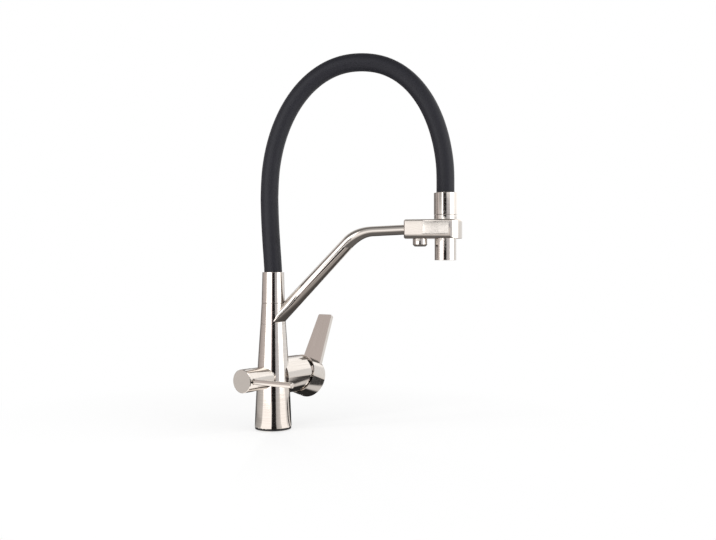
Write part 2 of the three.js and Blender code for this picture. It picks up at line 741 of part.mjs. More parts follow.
// Stations along the arm: where, which way, and how far along.
function armStations() {
  const rise = new THREE.Vector3(Math.cos(rad(armRise)), 0, Math.sin(rad(armRise)));
  const level = new THREE.Vector3(Math.cos(rad(armLevelRise)), 0, Math.sin(rad(armLevelRise)));
  const half = rad(armRise - armLevelRise) / 2;
  const inset = armBendR * Math.tan(half);
  const start = armCorner.clone().addScaledVector(rise, -armCornerX / rise.x);
  const bendStart = armCorner.clone().addScaledVector(rise, -inset);
  const bendEnd = armCorner.clone().addScaledVector(level, inset);
  const end = bendEnd.clone().addScaledVector(level, (holderLeft + armSocketL - bendEnd.x) / level.x);
  const stations = [];
  const rootSteps = 6;
  const straight = start.distanceTo(bendStart);
  for (let i = 0; i <= rootSteps; i += 1) {
    stations.push({ at: start.clone().addScaledVector(rise, armRootL * i / rootSteps), way: rise });
  }
  stations.push({ at: start.clone().addScaledVector(rise, (armRootL + straight) / 2), way: rise });
  const bendSteps = 8;
  for (let i = 0; i <= bendSteps; i += 1) {
    const turn = 2 * half * i / bendSteps;
    const angle = rad(armRise) - turn;
    const way = new THREE.Vector3(Math.cos(angle), 0, Math.sin(angle));
    const across = new THREE.Vector3(Math.sin(rad(armRise)), 0, -Math.cos(rad(armRise)));
    const at = bendStart.clone().addScaledVector(across, armBendR * (1 - Math.cos(turn)));
    at.addScaledVector(rise, armBendR * Math.sin(turn));
    stations.push({ at, way, bend: i / bendSteps });
  }
  stations.push({ at: end, way: level, bend: 1 });
  const total = [0];
  for (let i = 1; i < stations.length; i += 1) {
    total.push(total[i - 1] + stations[i].at.distanceTo(stations[i - 1].at));
  }
  return stations.map((station, i) => ({ ...station, along: total[i] }));
}

function armBoreLimit({ along }) {
  return THREE.MathUtils.lerp(armPortR, armBoreR, THREE.MathUtils.smoothstep(along, armPortL, armRootL));
}

function armSection({ at, way, along, bend = 0 }, shrink, limit, count = medium) {
  const free = THREE.MathUtils.smoothstep(along, 0, armRootL);
  const neck = THREE.MathUtils.smoothstep(bend, 0.1, 1);
  const straightR = THREE.MathUtils.lerp(armFootR, armThickR, Math.min(1, along / armTaperL));
  const thick = THREE.MathUtils.lerp(straightR, armThinR, neck);
  const wide = THREE.MathUtils.lerp(armRootW, thick, free);
  const up = new THREE.Vector3(-way.z, 0, way.x);
  const points = [];
  for (let i = 0; i < count; i += 1) {
    const turn = 2 * Math.PI * i / count;
    const rise = Math.min(thick - shrink, limit) * Math.sin(turn);
    const side = Math.min(wide - shrink, limit) * Math.cos(turn);
    points.push(at.clone().addScaledVector(up, rise).add(new THREE.Vector3(0, side, 0)));
  }
  return points;
}

function swivelArm() {
  const stations = armStations();
  const outer = loft(stations.map((station) => armSection(station, 0, Infinity)));
  const inside = stations.slice(2);
  const last = stations.at(-1);
  inside.push({ ...last, at: last.at.clone().addScaledVector(last.way, 1) });
  const bore = loft(inside.map((station) => armSection(station, armWall, armBoreLimit(station), coarse)));
  const collar = turned([[0, ringFootZ], [columnTopR, ringFootZ], [ringTopR, ringTopZ], [0, ringTopZ]], fine);
  const below = ring(armRootL + armRootW, 0, 0, ringFootZ);
  const socketRoom = turned([[0, ringTopZ], [ringTopR + fit, ringTopZ], [socketTopR + fit, socketTopZ],
    [0, socketTopZ]], fine);
  const ringBore = ring(ringBoreR, 0, ringFootZ - 1, ringTopZ + 1);
  const neckSeat = ring(socketBoreR + socketNeckWall + fit, 0, ringTopZ - socketNeckL, ringTopZ + 1);
  const washerBed = ring(washerOuterR + fit, 0, ringFootZ - 1, columnTopZ + washerT / 2 + 2 * fit);
  const keeperZ = columnTopZ + keeperH;
  const keeper = rod(keeperW / 2, [-grooveR, 0, keeperZ], [-columnTopR - 1, 0, keeperZ], drilled);
  return cut(join(cut(outer, below, socketRoom), collar), bore, ringBore, neckSeat, washerBed, keeper);
}

place(tap, 'swivel_arm', swivelArm(), 'nickel');
const keeperL = columnTopR - grooveR - keeperSunk;
const keeperScrew = place(tap, 'swivel_keeper_screw', grubScrew(keeperW / 2 - fit, keeperL), 'steel');
keeperScrew.position.set(-grooveR - fit, 0, columnTopZ + keeperH);
keeperScrew.rotation.z = Math.PI;

// ---------------------------------------------------------------- hose and its ends

function hoseSocket() {
  const neckR = socketBoreR + socketNeckWall;
  const neckFoot = ringTopZ - socketNeckL + fit;
  return turned([[socketBoreR, neckFoot], [neckR, neckFoot], [neckR, socketFootZ], [ringTopR, socketFootZ],
    [socketTopR, socketTopZ], [socketBoreR, socketTopZ]], fine);
}

// A barbed tail, its flange below.
function barbedTail(flangeR, flangeZ) {
  const flangeEnd = flangeZ + tailFlangeT;
  const stemR = hoseBoreR - fit - barbH;
  const outline = [[tailBoreR, flangeZ], [flangeR, flangeZ], [flangeR, flangeEnd], [stemR, flangeEnd]];
  for (let i = 1; i <= barbCount; i += 1) {
    const z = flangeEnd + barbL * i / (barbCount + 1);
    outline.push([stemR, z], [stemR + barbH, z], [stemR, z + barbRun]);
  }
  outline.push([stemR, flangeEnd + barbL], [tailBoreR, flangeEnd + barbL]);
  return turned(outline, coarse);
}

// The hose's centre line: upright out of the socket, leaning back, over the arch and straight down.
function hosePath() {
  const points = [new THREE.Vector3(0, 0, hoseFootZ), new THREE.Vector3(0, 0, socketTopZ)];
  const legSteps = 6;
  for (let i = 1; i < legSteps; i += 1) {
    const t = i / legSteps;
    const z = THREE.MathUtils.lerp(socketTopZ, archSpringZ, t);
    points.push(new THREE.Vector3(-archLean * Math.sin(t * Math.PI / 2) ** 1.2, 0, z));
  }
  const quarter = 8;
  for (let i = 0; i <= 2 * quarter; i += 1) {
    const turn = Math.PI * i / (2 * quarter);
    const back = i <= quarter;
    const power = 2 / (back ? archFullness : archFullnessDock);
    const reach = back ? -archCrownX - archLean : dockX - archCrownX;
    const out = back ? 0 : archBulge * Math.sin(Math.PI * (2 - 2 * turn / Math.PI) ** archBulgeLow);
    const x = archCrownX + reach * Math.abs(Math.cos(turn)) ** power + out;
    const z = archSpringZ + (archTopZ - archSpringZ) * Math.sin(turn) ** power;
    points.push(new THREE.Vector3(x, 0, z));
  }
  points.push(new THREE.Vector3(dockX, 0, (archSpringZ + hoseEndZ) / 2));
  points.push(new THREE.Vector3(dockX, 0, hoseEndZ + fit));
  return new THREE.CatmullRomCurve3(points, false, 'centripetal');
}

function hoseTube() {
  const section = new THREE.Shape().absarc(0, 0, hoseR, 0, 2 * Math.PI);
  section.holes.push(new THREE.Path().absarc(0, 0, hoseBoreR, 0, 2 * Math.PI, true));
  const path = hosePath();
  const steps = Math.round(path.getLength() / (hoseR * 1.5));
  return closed(new THREE.ExtrudeGeometry(section, { extrudePath: path, steps, curveSegments: 6 }));
}

place(tap, 'hose_socket', hoseSocket(), 'nickel');
place(tap, 'hose_tail', barbedTail(socketBoreR - fit, hoseFootZ - tailFlangeT - fit), 'brass');
place(tap, 'hose', hoseTube(), 'hose');

// ---------------------------------------------------------------- holder and filtered water nozzle

// The bar's section at x: it widens towards the dock.
function holderSection(x, inset) {
  const halfWidth = holderEndW + holderFlare * (x - holderLeft) - inset;
  const halfHeight = holderH / 2 - inset;
  const outline = [];
  const arcSteps = 4;
  [[1, 1], [-1, 1], [-1, -1], [1, -1]].forEach(([sideY, sideZ], quadrant) => {
    const corner = Math.max((sideZ > 0 ? holderTopR : holderLowR) - inset, 0.5);
    const centreY = sideY * (halfWidth - corner);
    const centreZ = holderMidZ + sideZ * (halfHeight - corner);
    for (let i = 0; i <= arcSteps; i += 1) {
      const turn = (quadrant + i / arcSteps) * Math.PI / 2;
      outline.push(new THREE.Vector3(x, centreY + corner * Math.cos(turn), centreZ + corner * Math.sin(turn)));
    }
  });
  return outline;
}

function holder() {
  const sections = [];
  const rim = [[0, holderFoot - 1], [dockR, holderFoot - 1]];
  const arcSteps = 3;
  for (let i = 0; i <= arcSteps; i += 1) {
    const turn = Math.PI / 2 * i / arcSteps;
    sections.push(holderSection(holderLeft + holderEndR * (1 - Math.cos(turn)), holderEndR * (1 - Math.sin(turn))));
    rim.push([dockR - holderTopR * (1 - Math.cos(turn)), holderTop - holderTopR * (1 - Math.sin(turn))]);
  }
  rim.push([dockR - holderTopR, holderTop + 1], [0, holderTop + 1]);
  sections.push(holderSection(dockX + dockR + 1, 0));
  const bar = loft(sections);
  const dockEnd = turned(rim, fine).translate(dockX, 0, 0);
  const behind = box([holderLeft - 1, -2 * dockR, holderFoot - 1], [dockX, 2 * dockR, holderTop + 1]);
  const bore = ring(dockBoreR, 0, holderFoot - 1, holderTop + 1, fine).translate(dockX, 0, 0);
  const linerSeat = ring(dockBoreR + dockLinerWall + fit, 0, holderFoot + dockLip, holderTop + 1, fine);
  const { at: end, way } = armStations().at(-1);
  const socketEnd = end.clone().addScaledVector(way, fit);
  const socketStart = end.clone().addScaledVector(way, -armSocketL - 5);
  const armSocket = rod(armThinR + fit, socketStart.toArray(), socketEnd.toArray(), medium);
  const nozzleSeat = ring(nozzleNeckR + fit, 0, holderFoot - 1, holderFoot + nozzleNeckL + fit);
  const channel = rod(channelR, [end.x - 1, 0, holderFoot + nozzleNeckL], [nozzleX, 0, holderFoot + nozzleNeckL]);
  return cut(common(bar, join(behind, dockEnd)), bore, linerSeat.translate(dockX, 0, 0), armSocket,
    nozzleSeat.translate(nozzleX, 0, 0), channel);
}

function filterNozzle() {
  const foot = holderFoot - nozzleDrop;
  const shoulder = holderFoot - fit;
  return turned([[nozzleMouthR, foot], [nozzleR - nozzleChamfer, foot], [nozzleR, foot + nozzleChamfer],
    [nozzleR, shoulder], [nozzleNeckR, shoulder], [nozzleNeckR, holderFoot + nozzleNeckL],
    [nozzleBoreR, holderFoot + nozzleNeckL], [nozzleBoreR, foot + nozzleInsertL + fit],
    [nozzleMouthR, foot + nozzleInsertL + fit]]).translate(nozzleX, 0, 0);
}

// A round plate with a rim and a ring of holes, its face down at footZ.
function aerator(outerR, footZ, length, holeR, holes) {
  const rim = outerR - aeratorWall;
  const plateTop = footZ + aeratorRecess + aeratorPlateT;
  const shell = turned([[0, footZ + aeratorRecess], [rim, footZ + aeratorRecess], [rim, footZ], [outerR, footZ],
    [outerR, footZ + length], [rim, footZ + length], [rim, plateTop], [0, plateTop]]);
  const drills = [rod(holeR, [0, 0, footZ], [0, 0, footZ + length], drilled)];
  for (let i = 0; i < holes; i += 1) {
    const [x, y] = polar(rim * aeratorHoleShare, 360 * i / holes);
    drills.push(rod(holeR, [x, y, footZ], [x, y, footZ + length], drilled));
  }
  return cut(shell, ...drills);
}

place(tap, 'holder', holder(), 'nickel');
place(tap, 'dock_liner', ring(dockBoreR + dockLinerWall, dockBoreR, holderFoot + dockLip + fit, holderTop, fine)
  .translate(dockX, 0, 0), 'greyPlastic');
place(tap, 'filter_nozzle', filterNozzle(), 'nickel');
const nozzleFoot = holderFoot - nozzleDrop;
const nozzleInsert = aerator(nozzleMouthR - fit, nozzleFoot + nozzleRecess, nozzleInsertL - nozzleRecess,
  nozzleHoleR, nozzleHoles);
place(tap, 'filter_aerator', nozzleInsert.translate(nozzleX, 0, 0), 'greyPlastic');

// ---------------------------------------------------------------- spray head

const sprayFoot = holderFoot - sprayDrop;
const sprayInnerR = sprayR - sprayWall;
const sprayMouthR = sprayR - sprayRim;
const sprayCeiling = sprayFlangeZ - sprayRoof;

function sprayBody() {
  const neckTop = sprayFlangeZ + sprayFlangeT + sprayNeckL;
  const throatR = checkValveR + fit;
  const throatTop = sprayCeiling + checkValveL + fit;
  const wayR = checkValveBoreR + 1;
  return turned([[sprayMouthR, sprayFoot], [sprayR, sprayFoot], [sprayR, sprayFlangeZ],
    [sprayFlangeR, sprayFlangeZ], [sprayFlangeR, sprayFlangeZ + sprayFlangeT],
    [sprayNeckR, sprayFlangeZ + sprayFlangeT], [sprayNeckR, neckTop], [wayR, neckTop], [wayR, throatTop],
    [throatR, throatTop], [throatR, sprayCeiling], [sprayInnerR, sprayCeiling],
    [sprayInnerR, sprayFoot + aeratorL + fit], [sprayMouthR, sprayFoot + aeratorL + fit]], fine);
}

function checkValve() {
  const low = sprayCeiling + fit;
  const high = sprayCeiling + checkValveL;
  const floor = checkValveR - sealGrooveDepth;
  const groove = checkValveGroove.map((height, i) => [i % 3 === 0 ? checkValveR : floor, low + height]);
  return turned([[checkValveBoreR, low], [checkValveR, low], ...groove, [checkValveR, high],
    [checkValveBoreR, high]], coarse);
}

function hoseFerrule() {
  const seat = hoseEndZ;
  const neckBore = sprayNeckR + fit;
  return turned([[neckBore, ferruleZ], [ferruleR, ferruleZ], [ferruleR, ferruleTopZ - ferruleEdge],
    [ferruleR - ferruleEdge, ferruleTopZ], [hoseR + fit, ferruleTopZ], [hoseR + fit, seat], [neckBore, seat]], fine);
}

const spray = new THREE.Group();
spray.position.x = dockX;
tap.add(spray);
place(spray, 'spray_body', sprayBody(), 'nickel');
const sprayInsert = aerator(sprayMouthR - fit, sprayFoot + aeratorRecess, aeratorL - aeratorRecess, aeratorHoleR,
  aeratorHoles);
place(spray, 'spray_aerator', sprayInsert, 'greyPlastic');
place(spray, 'check_valve', checkValve(), 'whitePlastic');
place(spray, 'hose_ferrule', hoseFerrule(), 'nickel');
place(spray, 'spray_tail', barbedTail(sprayNeckR - fit, sprayFlangeZ + sprayFlangeT + sprayNeckL + fit), 'brass');

export default tap;
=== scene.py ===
# Three way filtered water tap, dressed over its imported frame: smooth cast and turned metal,
# the rubber hose and the plastic outlets, in the light and from the place of the picture.
import json
import math

import bpy
from mathutils import Matrix, Vector


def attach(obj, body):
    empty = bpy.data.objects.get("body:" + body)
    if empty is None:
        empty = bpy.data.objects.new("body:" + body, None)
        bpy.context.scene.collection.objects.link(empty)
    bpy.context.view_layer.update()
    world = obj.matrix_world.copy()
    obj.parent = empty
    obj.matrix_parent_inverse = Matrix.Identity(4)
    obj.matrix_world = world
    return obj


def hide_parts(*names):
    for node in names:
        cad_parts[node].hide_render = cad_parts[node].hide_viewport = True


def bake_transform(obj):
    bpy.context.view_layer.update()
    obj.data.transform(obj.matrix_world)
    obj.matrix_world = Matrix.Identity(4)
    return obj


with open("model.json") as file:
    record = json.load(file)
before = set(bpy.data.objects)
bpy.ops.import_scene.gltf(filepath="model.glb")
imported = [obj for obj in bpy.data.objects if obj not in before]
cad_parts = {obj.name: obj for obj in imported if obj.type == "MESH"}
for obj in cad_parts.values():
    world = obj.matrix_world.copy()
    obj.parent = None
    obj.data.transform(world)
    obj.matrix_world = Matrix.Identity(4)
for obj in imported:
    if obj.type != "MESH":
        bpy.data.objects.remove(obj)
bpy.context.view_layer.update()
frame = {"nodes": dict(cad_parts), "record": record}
nodes = frame["nodes"]
mm = 0.001
up = Vector((0, 0, 1))

# The valve axis crosses the column, mixer side outwards; lengths are in mm, as in the frame.
valveSet = {"height": 70, "turn": 58}
valveTurn = math.radians(valveSet["turn"])
valveWay = Vector((math.cos(valveTurn), math.sin(valveTurn), 0))
pinWay = valveWay.cross(up)
valveCentre = up * valveSet["height"]

# Camera: level, a little right of the column, with the picture's own frame.
cameraSet = {"turn": 3, "aside": 115.3, "away": 1156, "height": 214.9, "lens": 42.74, "sensor": 36}
cameraTurn = math.radians(cameraSet["turn"])
forward = Vector((-math.sin(cameraTurn), math.cos(cameraTurn), 0))
aside = Vector((math.cos(cameraTurn), math.sin(cameraTurn), 0))
standpoint = aside * cameraSet["aside"] - forward * cameraSet["away"] + up * cameraSet["height"]
bpy.ops.object.camera_add(location=standpoint * mm, rotation=(math.pi / 2, 0, cameraTurn))
camera = bpy.context.object
camera.data.lens = cameraSet["lens"]
camera.data.sensor_width = cameraSet["sensor"]
bpy.context.scene.camera = camera
bpy.context.scene.view_settings.view_transform = "Standard"
print("camera set")


# Turns an sRGB hex value to linear.
def colour(code):
    parts = [int(code[i:i + 2], 16) / 255 for i in (1, 3, 5)]
    return (*[p / 12.92 if p <= 0.04045 else ((p + 0.055) / 1.055) ** 2.4 for p in parts], 1)


# Each of the links goes into the socket of that name or number: another node's output, or a value.
def addNode(tree, kind, links=None, **settings):
    node = tree.nodes.new("ShaderNode" + kind)
    for key, value in settings.items():
        setattr(node, key, value)
    for key, value in (links or {}).items():
        if isinstance(value, bpy.types.NodeSocket):
            tree.links.new(value, node.inputs[key])
        else:
            node.inputs[key].default_value = value
    return node


def newMaterial(name, **shaderValues):
    material = bpy.data.materials.new(name)
    material.use_nodes = True
    shader = material.node_tree.nodes["Principled BSDF"]
    for key, value in shaderValues.items():
        shader.inputs[key.replace("_", " ")].default_value = value
    return material, material.node_tree, shader


noiseSpan = {"From Min": 0.3, "From Max": 0.7}  # most of a noise lies between these

nickelSet = {
    "bright": "#dad4ce",
    "dull": "#cfc8c1",
    "smooth": 0.06,
    "rough": 0.13,
    "line": 0.9,       # mm; real brushing is about 0.1 mm apart, drawn this coarse so that it shows
    "drawn": 70,       # a line's length over its width
    "depth": 0.006,    # mm
    "cloud": 22.2,     # mm, the size of the duller patches that handling leaves
    "clouded": 0.02,   # how much rougher or smoother they are
    "change": 12,      # mm on either side, where one direction of brushing gives way to the next
}


# ways is one direction, or two with the X in mm where the first gives way to the second.
def brushedNickel(name, ways, lengthwise=False, line=nickelSet["line"]):
    material, tree, shader = newMaterial(name, Metallic=1.0)
    place = addNode(tree, "TexCoord").outputs["Object"]
    narrow = 1000 / line
    wide = narrow / nickelSet["drawn"]
    scale = (narrow, narrow, wide) if lengthwise else (wide, wide, narrow)
    fields = []
    for way in ways[:2]:
        turned = Vector(way).to_track_quat("Z", "Y").inverted().to_euler()
        along = addNode(tree, "Mapping", {"Vector": place, "Rotation": turned}).outputs[0]
        drawn = addNode(tree, "Mapping", {"Vector": along, "Scale": scale}).outputs[0]
        noise = addNode(tree, "TexNoise", {"Vector": drawn, "Scale": 1.0, "Detail": 3.0})
        fields.append(noise.outputs["Fac"])
    lines = fields[0]
    if len(fields) > 1:
        start, end = ((ways[2] + side * nickelSet["change"]) * mm for side in (-1, 1))
        x = addNode(tree, "SeparateXYZ", {"Vector": place}).outputs["X"]
        share = addNode(tree, "MapRange", {"Value": x, "From Min": start, "From Max": end}).outputs[0]
        lines = addNode(tree, "Mix", {"Factor": share, "A": fields[0], "B": fields[1]}).outputs[0]
    brightness = addNode(tree, "MapRange", {"Value": lines, **noiseSpan}).outputs[0]
    tone = addNode(tree, "Mix", {"Factor": brightness, 6: colour(nickelSet["dull"]),
                                 7: colour(nickelSet["bright"])}, data_type="RGBA")
    rough = addNode(tree, "MapRange", {"Value": lines, **noiseSpan, "To Min": nickelSet["smooth"],
                                       "To Max": nickelSet["rough"]}).outputs[0]
    cloud = addNode(tree, "TexNoise", {"Vector": place, "Scale": 1000 / nickelSet["cloud"], "Detail": 2.0})
    patch = addNode(tree, "MapRange", {"Value": cloud.outputs["Fac"], **noiseSpan,
                                       "To Min": -nickelSet["clouded"],
                                       "To Max": nickelSet["clouded"]}).outputs[0]
    clouded = addNode(tree, "Math", {0: rough, 1: patch}, operation="ADD")
    bump = addNode(tree, "Bump", {"Height": lines, "Strength": 1.0, "Distance": nickelSet["depth"] * mm})
    tree.links.new(tone.outputs[2], shader.inputs["Base Color"])
    tree.links.new(clouded.outputs[0], shader.inputs["Roughness"])
    tree.links.new(bump.outputs[0], shader.inputs["Normal"])
    return material


# A moulded, turned or fired surface: two close colours in a grain of that size in mm.
def plainSurface(name, low, high, grain, rough, depth, stretch=(1, 1, 1), **shaderValues):
    material, tree, shader = newMaterial(name, **shaderValues)
    place = addNode(tree, "TexCoord").outputs["Object"]
    scale = tuple(1000 / grain * share for share in stretch)
    stretched = addNode(tree, "Mapping", {"Vector": place, "Scale": scale}).outputs[0]
    noise = addNode(tree, "TexNoise", {"Vector": stretched, "Scale": 1.0, "Detail": 3.0}).outputs["Fac"]
    share = addNode(tree, "MapRange", {"Value": noise, **noiseSpan}).outputs[0]
    tone = addNode(tree, "Mix", {"Factor": share, 6: colour(low), 7: colour(high)}, data_type="RGBA")
    grained = addNode(tree, "MapRange", {"Value": noise, **noiseSpan, "To Min": rough[0], "To Max": rough[1]})
    bump = addNode(tree, "Bump", {"Height": noise, "Distance": depth * mm})
    tree.links.new(tone.outputs[2], shader.inputs["Base Color"])
    tree.links.new(grained.outputs[0], shader.inputs["Roughness"])
    tree.links.new(bump.outputs[0], shader.inputs["Normal"])
    return material


# Brushed nickel plate over brass, satin: a clear but soft mirror with fine drawn lines. This one is
# brushed round upright turned pieces; the others stand beside their pieces.
nickelRound = brushedNickel("brushedNickelRound", [up])
# Satin black EPDM rubber, extruded: dark blue-grey, with a soft sheen at its edges.
rubberHose = plainSurface("satinRubberHose", "#1a1a20", "#202027", 1.6, (0.42, 0.54), 0.02,
                          Specular_IOR_Level=0.2, IOR=1.52)
# Moulded nitrile rubber: matt, nearly black.
rubberSeal = plainSurface("mattNitrileRubber", "#151516", "#1d1d1f", 0.8, (0.6, 0.75), 0.02, IOR=1.52)
# Turned brass: yellow metal with fine tool marks.
turnedBrass = plainSurface("turnedBrass", "#b8975a", "#c9ab6c", 0.6, (0.25, 0.38), 0.01, (0.1, 0.1, 1),
                           Metallic=1.0)
# Brass coloured near black as painted shade, so that the nut shows as the dark shaded gap line.
paintedShadeBrass = plainSurface("paintedShadeBrass", "#2a2624", "#35302c", 0.6, (0.35, 0.5), 0.01, (0.1, 0.1, 1),
                              Metallic=1.0)
# Plain stainless steel of the small screws.
screwSteel = plainSurface("stainlessScrewSteel", "#a9abad", "#b9bbbd", 0.5, (0.25, 0.35), 0.01, Metallic=1.0)
# Lapped alumina ceramic: cream white and dense.
lappedCeramic = plainSurface("lappedAluminaCeramic", "#ece8df", "#f3f0e9", 0.9, (0.12, 0.2), 0.003, IOR=1.77)
# Injection moulded acetal, white: waxy and even.
whiteAcetal = plainSurface("whiteAcetal", "#dfdfda", "#e8e8e4", 0.7, (0.38, 0.5), 0.006, IOR=1.48)
# Injection moulded ABS, grey: finely eroded surface.
greyPlastic = plainSurface("greyMouldedAbs", "#84868a", "#92949a", 0.5, (0.42, 0.56), 0.012, IOR=1.54)

slotFinish = {
    "brushed_nickel": nickelRound, "brass": turnedBrass, "steel": screwSteel, "black_hose": rubberHose,
    "black_rubber": rubberSeal, "ceramic": lappedCeramic, "white_plastic": whiteAcetal,
    "grey_plastic": greyPlastic,
}
for part in frame["record"]["subparts"]:
    node = nodes[part["node"]]
    node.data.materials.clear()
    node.data.materials.append(slotFinish[part["material_slot"]])
print("materials made")


def clearSelection():
    if bpy.context.mode != "OBJECT":
        bpy.ops.object.mode_set(mode="OBJECT")
    bpy.ops.object.select_all(action="DESELECT")


def editPiece(piece, kind="VERT", action="SELECT"):
    clearSelection()
    piece.select_set(True)
    bpy.context.view_layer.objects.active = piece
    bpy.ops.object.mode_set(mode="EDIT")
    bpy.ops.mesh.select_mode(type=kind)
    bpy.ops.mesh.select_all(action=action)


def closeEdit():
    bpy.ops.object.mode_set(mode="OBJECT")


# Joins the corners that lie no further apart than this in mm, and turns the faces outwards.
def weld(apart):
    bpy.ops.mesh.remove_doubles(threshold=apart * mm)
    bpy.ops.mesh.normals_make_consistent(inside=False)


def applyModifier(piece, kind, **settings):
    bpy.ops.object.modifier_add(type=kind)
    modifier = piece.modifiers[-1]
    for key, value in settings.items():
        setattr(modifier, key, value)
    bpy.ops.object.modifier_apply(modifier=modifier.name)


def newPiece(name):
    piece = bpy.context.object
    piece.name = name
    piece.data.name = name
    bpy.ops.object.transform_apply(location=True, rotation=True, scale=True)
    return piece


def ringPiece(name, radius, centre, way, sides, filled):
    clearSelection()
    bpy.ops.mesh.primitive_circle_add(
        vertices=sides, radius=radius * mm, location=centre * mm, fill_type="NGON" if filled else "NOTHING",
        rotation=way.to_track_quat("Z", "Y").to_euler())
    return newPiece(name)


def boxPiece(name, low, high):
    low, high = Vector(low), Vector(high)
    clearSelection()
    bpy.ops.mesh.primitive_cube_add(size=1, location=(low + high) / 2 * mm, scale=(high - low) * mm)
    return newPiece(name)


def drawTo(move, centre, grow=(1, 1, 1)):
    bpy.ops.mesh.extrude_region_move(TRANSFORM_OT_translate={"value": move * mm})
    if tuple(grow) != (1, 1, 1):
        bpy.ops.transform.resize(value=grow, center_override=centre * mm)


# outline is radius and height in mm; from the axis to the axis, or a closed ring.
def turnedPiece(name, outline, sides=128, foot=Vector((0, 0, 0)), way=up):
    filled = outline[0][0] == 0
    corners = [corner for corner in outline if corner[0] > 0]
    if not filled:
        corners.append(corners[0])
    radius, height = corners[0]
    piece = ringPiece(name, radius, foot + way * height, way, sides, filled)
    editPiece(piece)
    for nextRadius, nextHeight in corners[1:]:
        share = nextRadius / radius
        drawTo(way * (nextHeight - height), foot + way * nextHeight, (share, share, share))
        radius, height = nextRadius, nextHeight
    bpy.ops.mesh.select_all(action="SELECT")
    weld(0.001)
    closeEdit()
    return piece


# The outline of a rod, or of a sleeve where it has an inner radius.
def sleeve(outer, low, high, inner=0):
    return [(inner, low), (outer, low), (outer, high), (inner, high)]


# The outline's corners at an end with a chamfer.
def chamfered(radius, end, chamfer):
    return [(radius, end - chamfer), (radius - chamfer, end)]


def combine(piece, tool, operation="DIFFERENCE"):
    clearSelection()
    bpy.context.view_layer.objects.active = piece
    piece.select_set(True)
    applyModifier(piece, "BOOLEAN", operation=operation, solver="EXACT", object=tool)
    bpy.data.objects.remove(tool)
    return piece


def soften(piece, width, segments=3, sharpness=30):
    editPiece(piece, "EDGE", "DESELECT")
    bpy.ops.mesh.edges_select_sharp(sharpness=math.radians(sharpness))
    bpy.ops.mesh.bevel(offset=width * mm, segments=segments, profile=0.5, affect="EDGES", clamp_overlap=True)
    closeEdit()


# Rounds off the edges whose two ends, in mm, pass the test.
def roundEdges(piece, width, rows, profile, chosen):
    editPiece(piece, "EDGE", "DESELECT")
    closeEdit()
    points = piece.data.vertices
    for edge in piece.data.edges:
        edge.select = chosen(*(points[i].co / mm for i in edge.vertices))
    bpy.ops.object.mode_set(mode="EDIT")
    bpy.ops.mesh.bevel(offset=width * mm, segments=rows, profile=profile, affect="EDGES")
    closeEdit()


# Widens the end face that looks along +X or +Z by a share in Y.
def flareFace(piece, axis, share):
    editPiece(piece, "FACE", "DESELECT")
    closeEdit()
    for face in piece.data.polygons:
        face.select = face.normal[axis] > 0.9
    bpy.ops.object.mode_set(mode="EDIT")
    bpy.ops.transform.resize(value=(1, share, 1), center_override=(0, 0, 0))
    closeEdit()


def finishPiece(piece, body, finish, slot, *stoodFor, smooth=32):
    editPiece(piece)
    weld(0.002)
    closeEdit()
    bpy.ops.object.shade_smooth_by_angle(angle=math.radians(smooth))
    applyModifier(piece, "WEIGHTED_NORMAL", keep_sharp=True)
    piece.data.materials.clear()
    piece.data.materials.append(finish)
    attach(piece, body)
    if stoodFor:
        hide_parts(*stoodFor)
    print("made", piece.name)


# Column with the mixer housing and the filter boss, one casting. Its side curves from foot over waist to
# top; inside it has a well in the foot and three steps down from the top, for collar, washer and spigot.
columnSet = {
    "foot": 25, "waist": 22.3, "top": 17.2, "height": 142, "start": 2.3, "chamfer": 0.8, "rows": 22,
    "well": 20.5, "wellTop": 12.3, "collar": 15.7, "collarFloor": 141, "washer": 12.6, "washerFloor": 137.7,
    "spigot": 8.8, "spigotFloor": 119.7, "edge": 0.25,
}
housingSet = {"radius": 25, "start": 3, "end": 54, "chamfer": 0.8, "nutBore": 22.5, "nutFloor": 50.3,
              "bore": 20.1, "boreFloor": 22.3, "sides": 128}
bossSet = {"radius": 15.2, "start": 3, "end": 45, "chamfer": 0.3, "bore": 10, "boreFloor": 18, "sides": 96}


def columnRadius(height):
    t = height / columnSet["height"]
    return (1 - t) ** 2 * columnSet["foot"] + 2 * t * (1 - t) * columnSet["waist"] + t ** 2 * columnSet["top"]


def columnOutline(size):
    start, top = size["start"], size["height"]
    low = start + size["chamfer"]
    outline = [(0, size["wellTop"]), (size["well"], size["wellTop"]), (size["well"], start),
               (columnRadius(start) - size["chamfer"], start)]
    for row in range(size["rows"] + 1):
        height = low + (top - low) * row / size["rows"]
        outline.append((columnRadius(height), height))
    for step in ("collar", "washer", "spigot"):
        outline += [(size[step], top), (size[step], size[step + "Floor"])]
        top = size[step + "Floor"]
    return [*outline, (0, top)]


def housingOutline(size):
    return [(0, size["start"]), (size["radius"], size["start"]),
            *chamfered(size["radius"], size["end"], size["chamfer"]),
            (size["nutBore"], size["end"]), (size["nutBore"], size["nutFloor"]),
            (size["bore"], size["nutFloor"]), (size["bore"], size["boreFloor"]), (0, size["boreFloor"])]


def bossOutline(size):
    return [(0, size["start"]), (size["radius"], size["start"]),
            *chamfered(size["radius"], size["end"], size["chamfer"]),
            (size["bore"], size["end"]), (size["bore"], size["boreFloor"]), (0, size["boreFloor"])]


column = turnedPiece("columnCasting", columnOutline(columnSet))
combine(column, turnedPiece("housingTool", housingOutline(housingSet), housingSet["sides"], valveCentre,
                            valveWay), "UNION")
combine(column, turnedPiece("bossTool", bossOutline(bossSet), bossSet["sides"], valveCentre, -valveWay),
        "UNION")
soften(column, columnSet["edge"], 2)
finishPiece(column, "tap_body", nickelRound, "brushed_nickel", "column_shell")

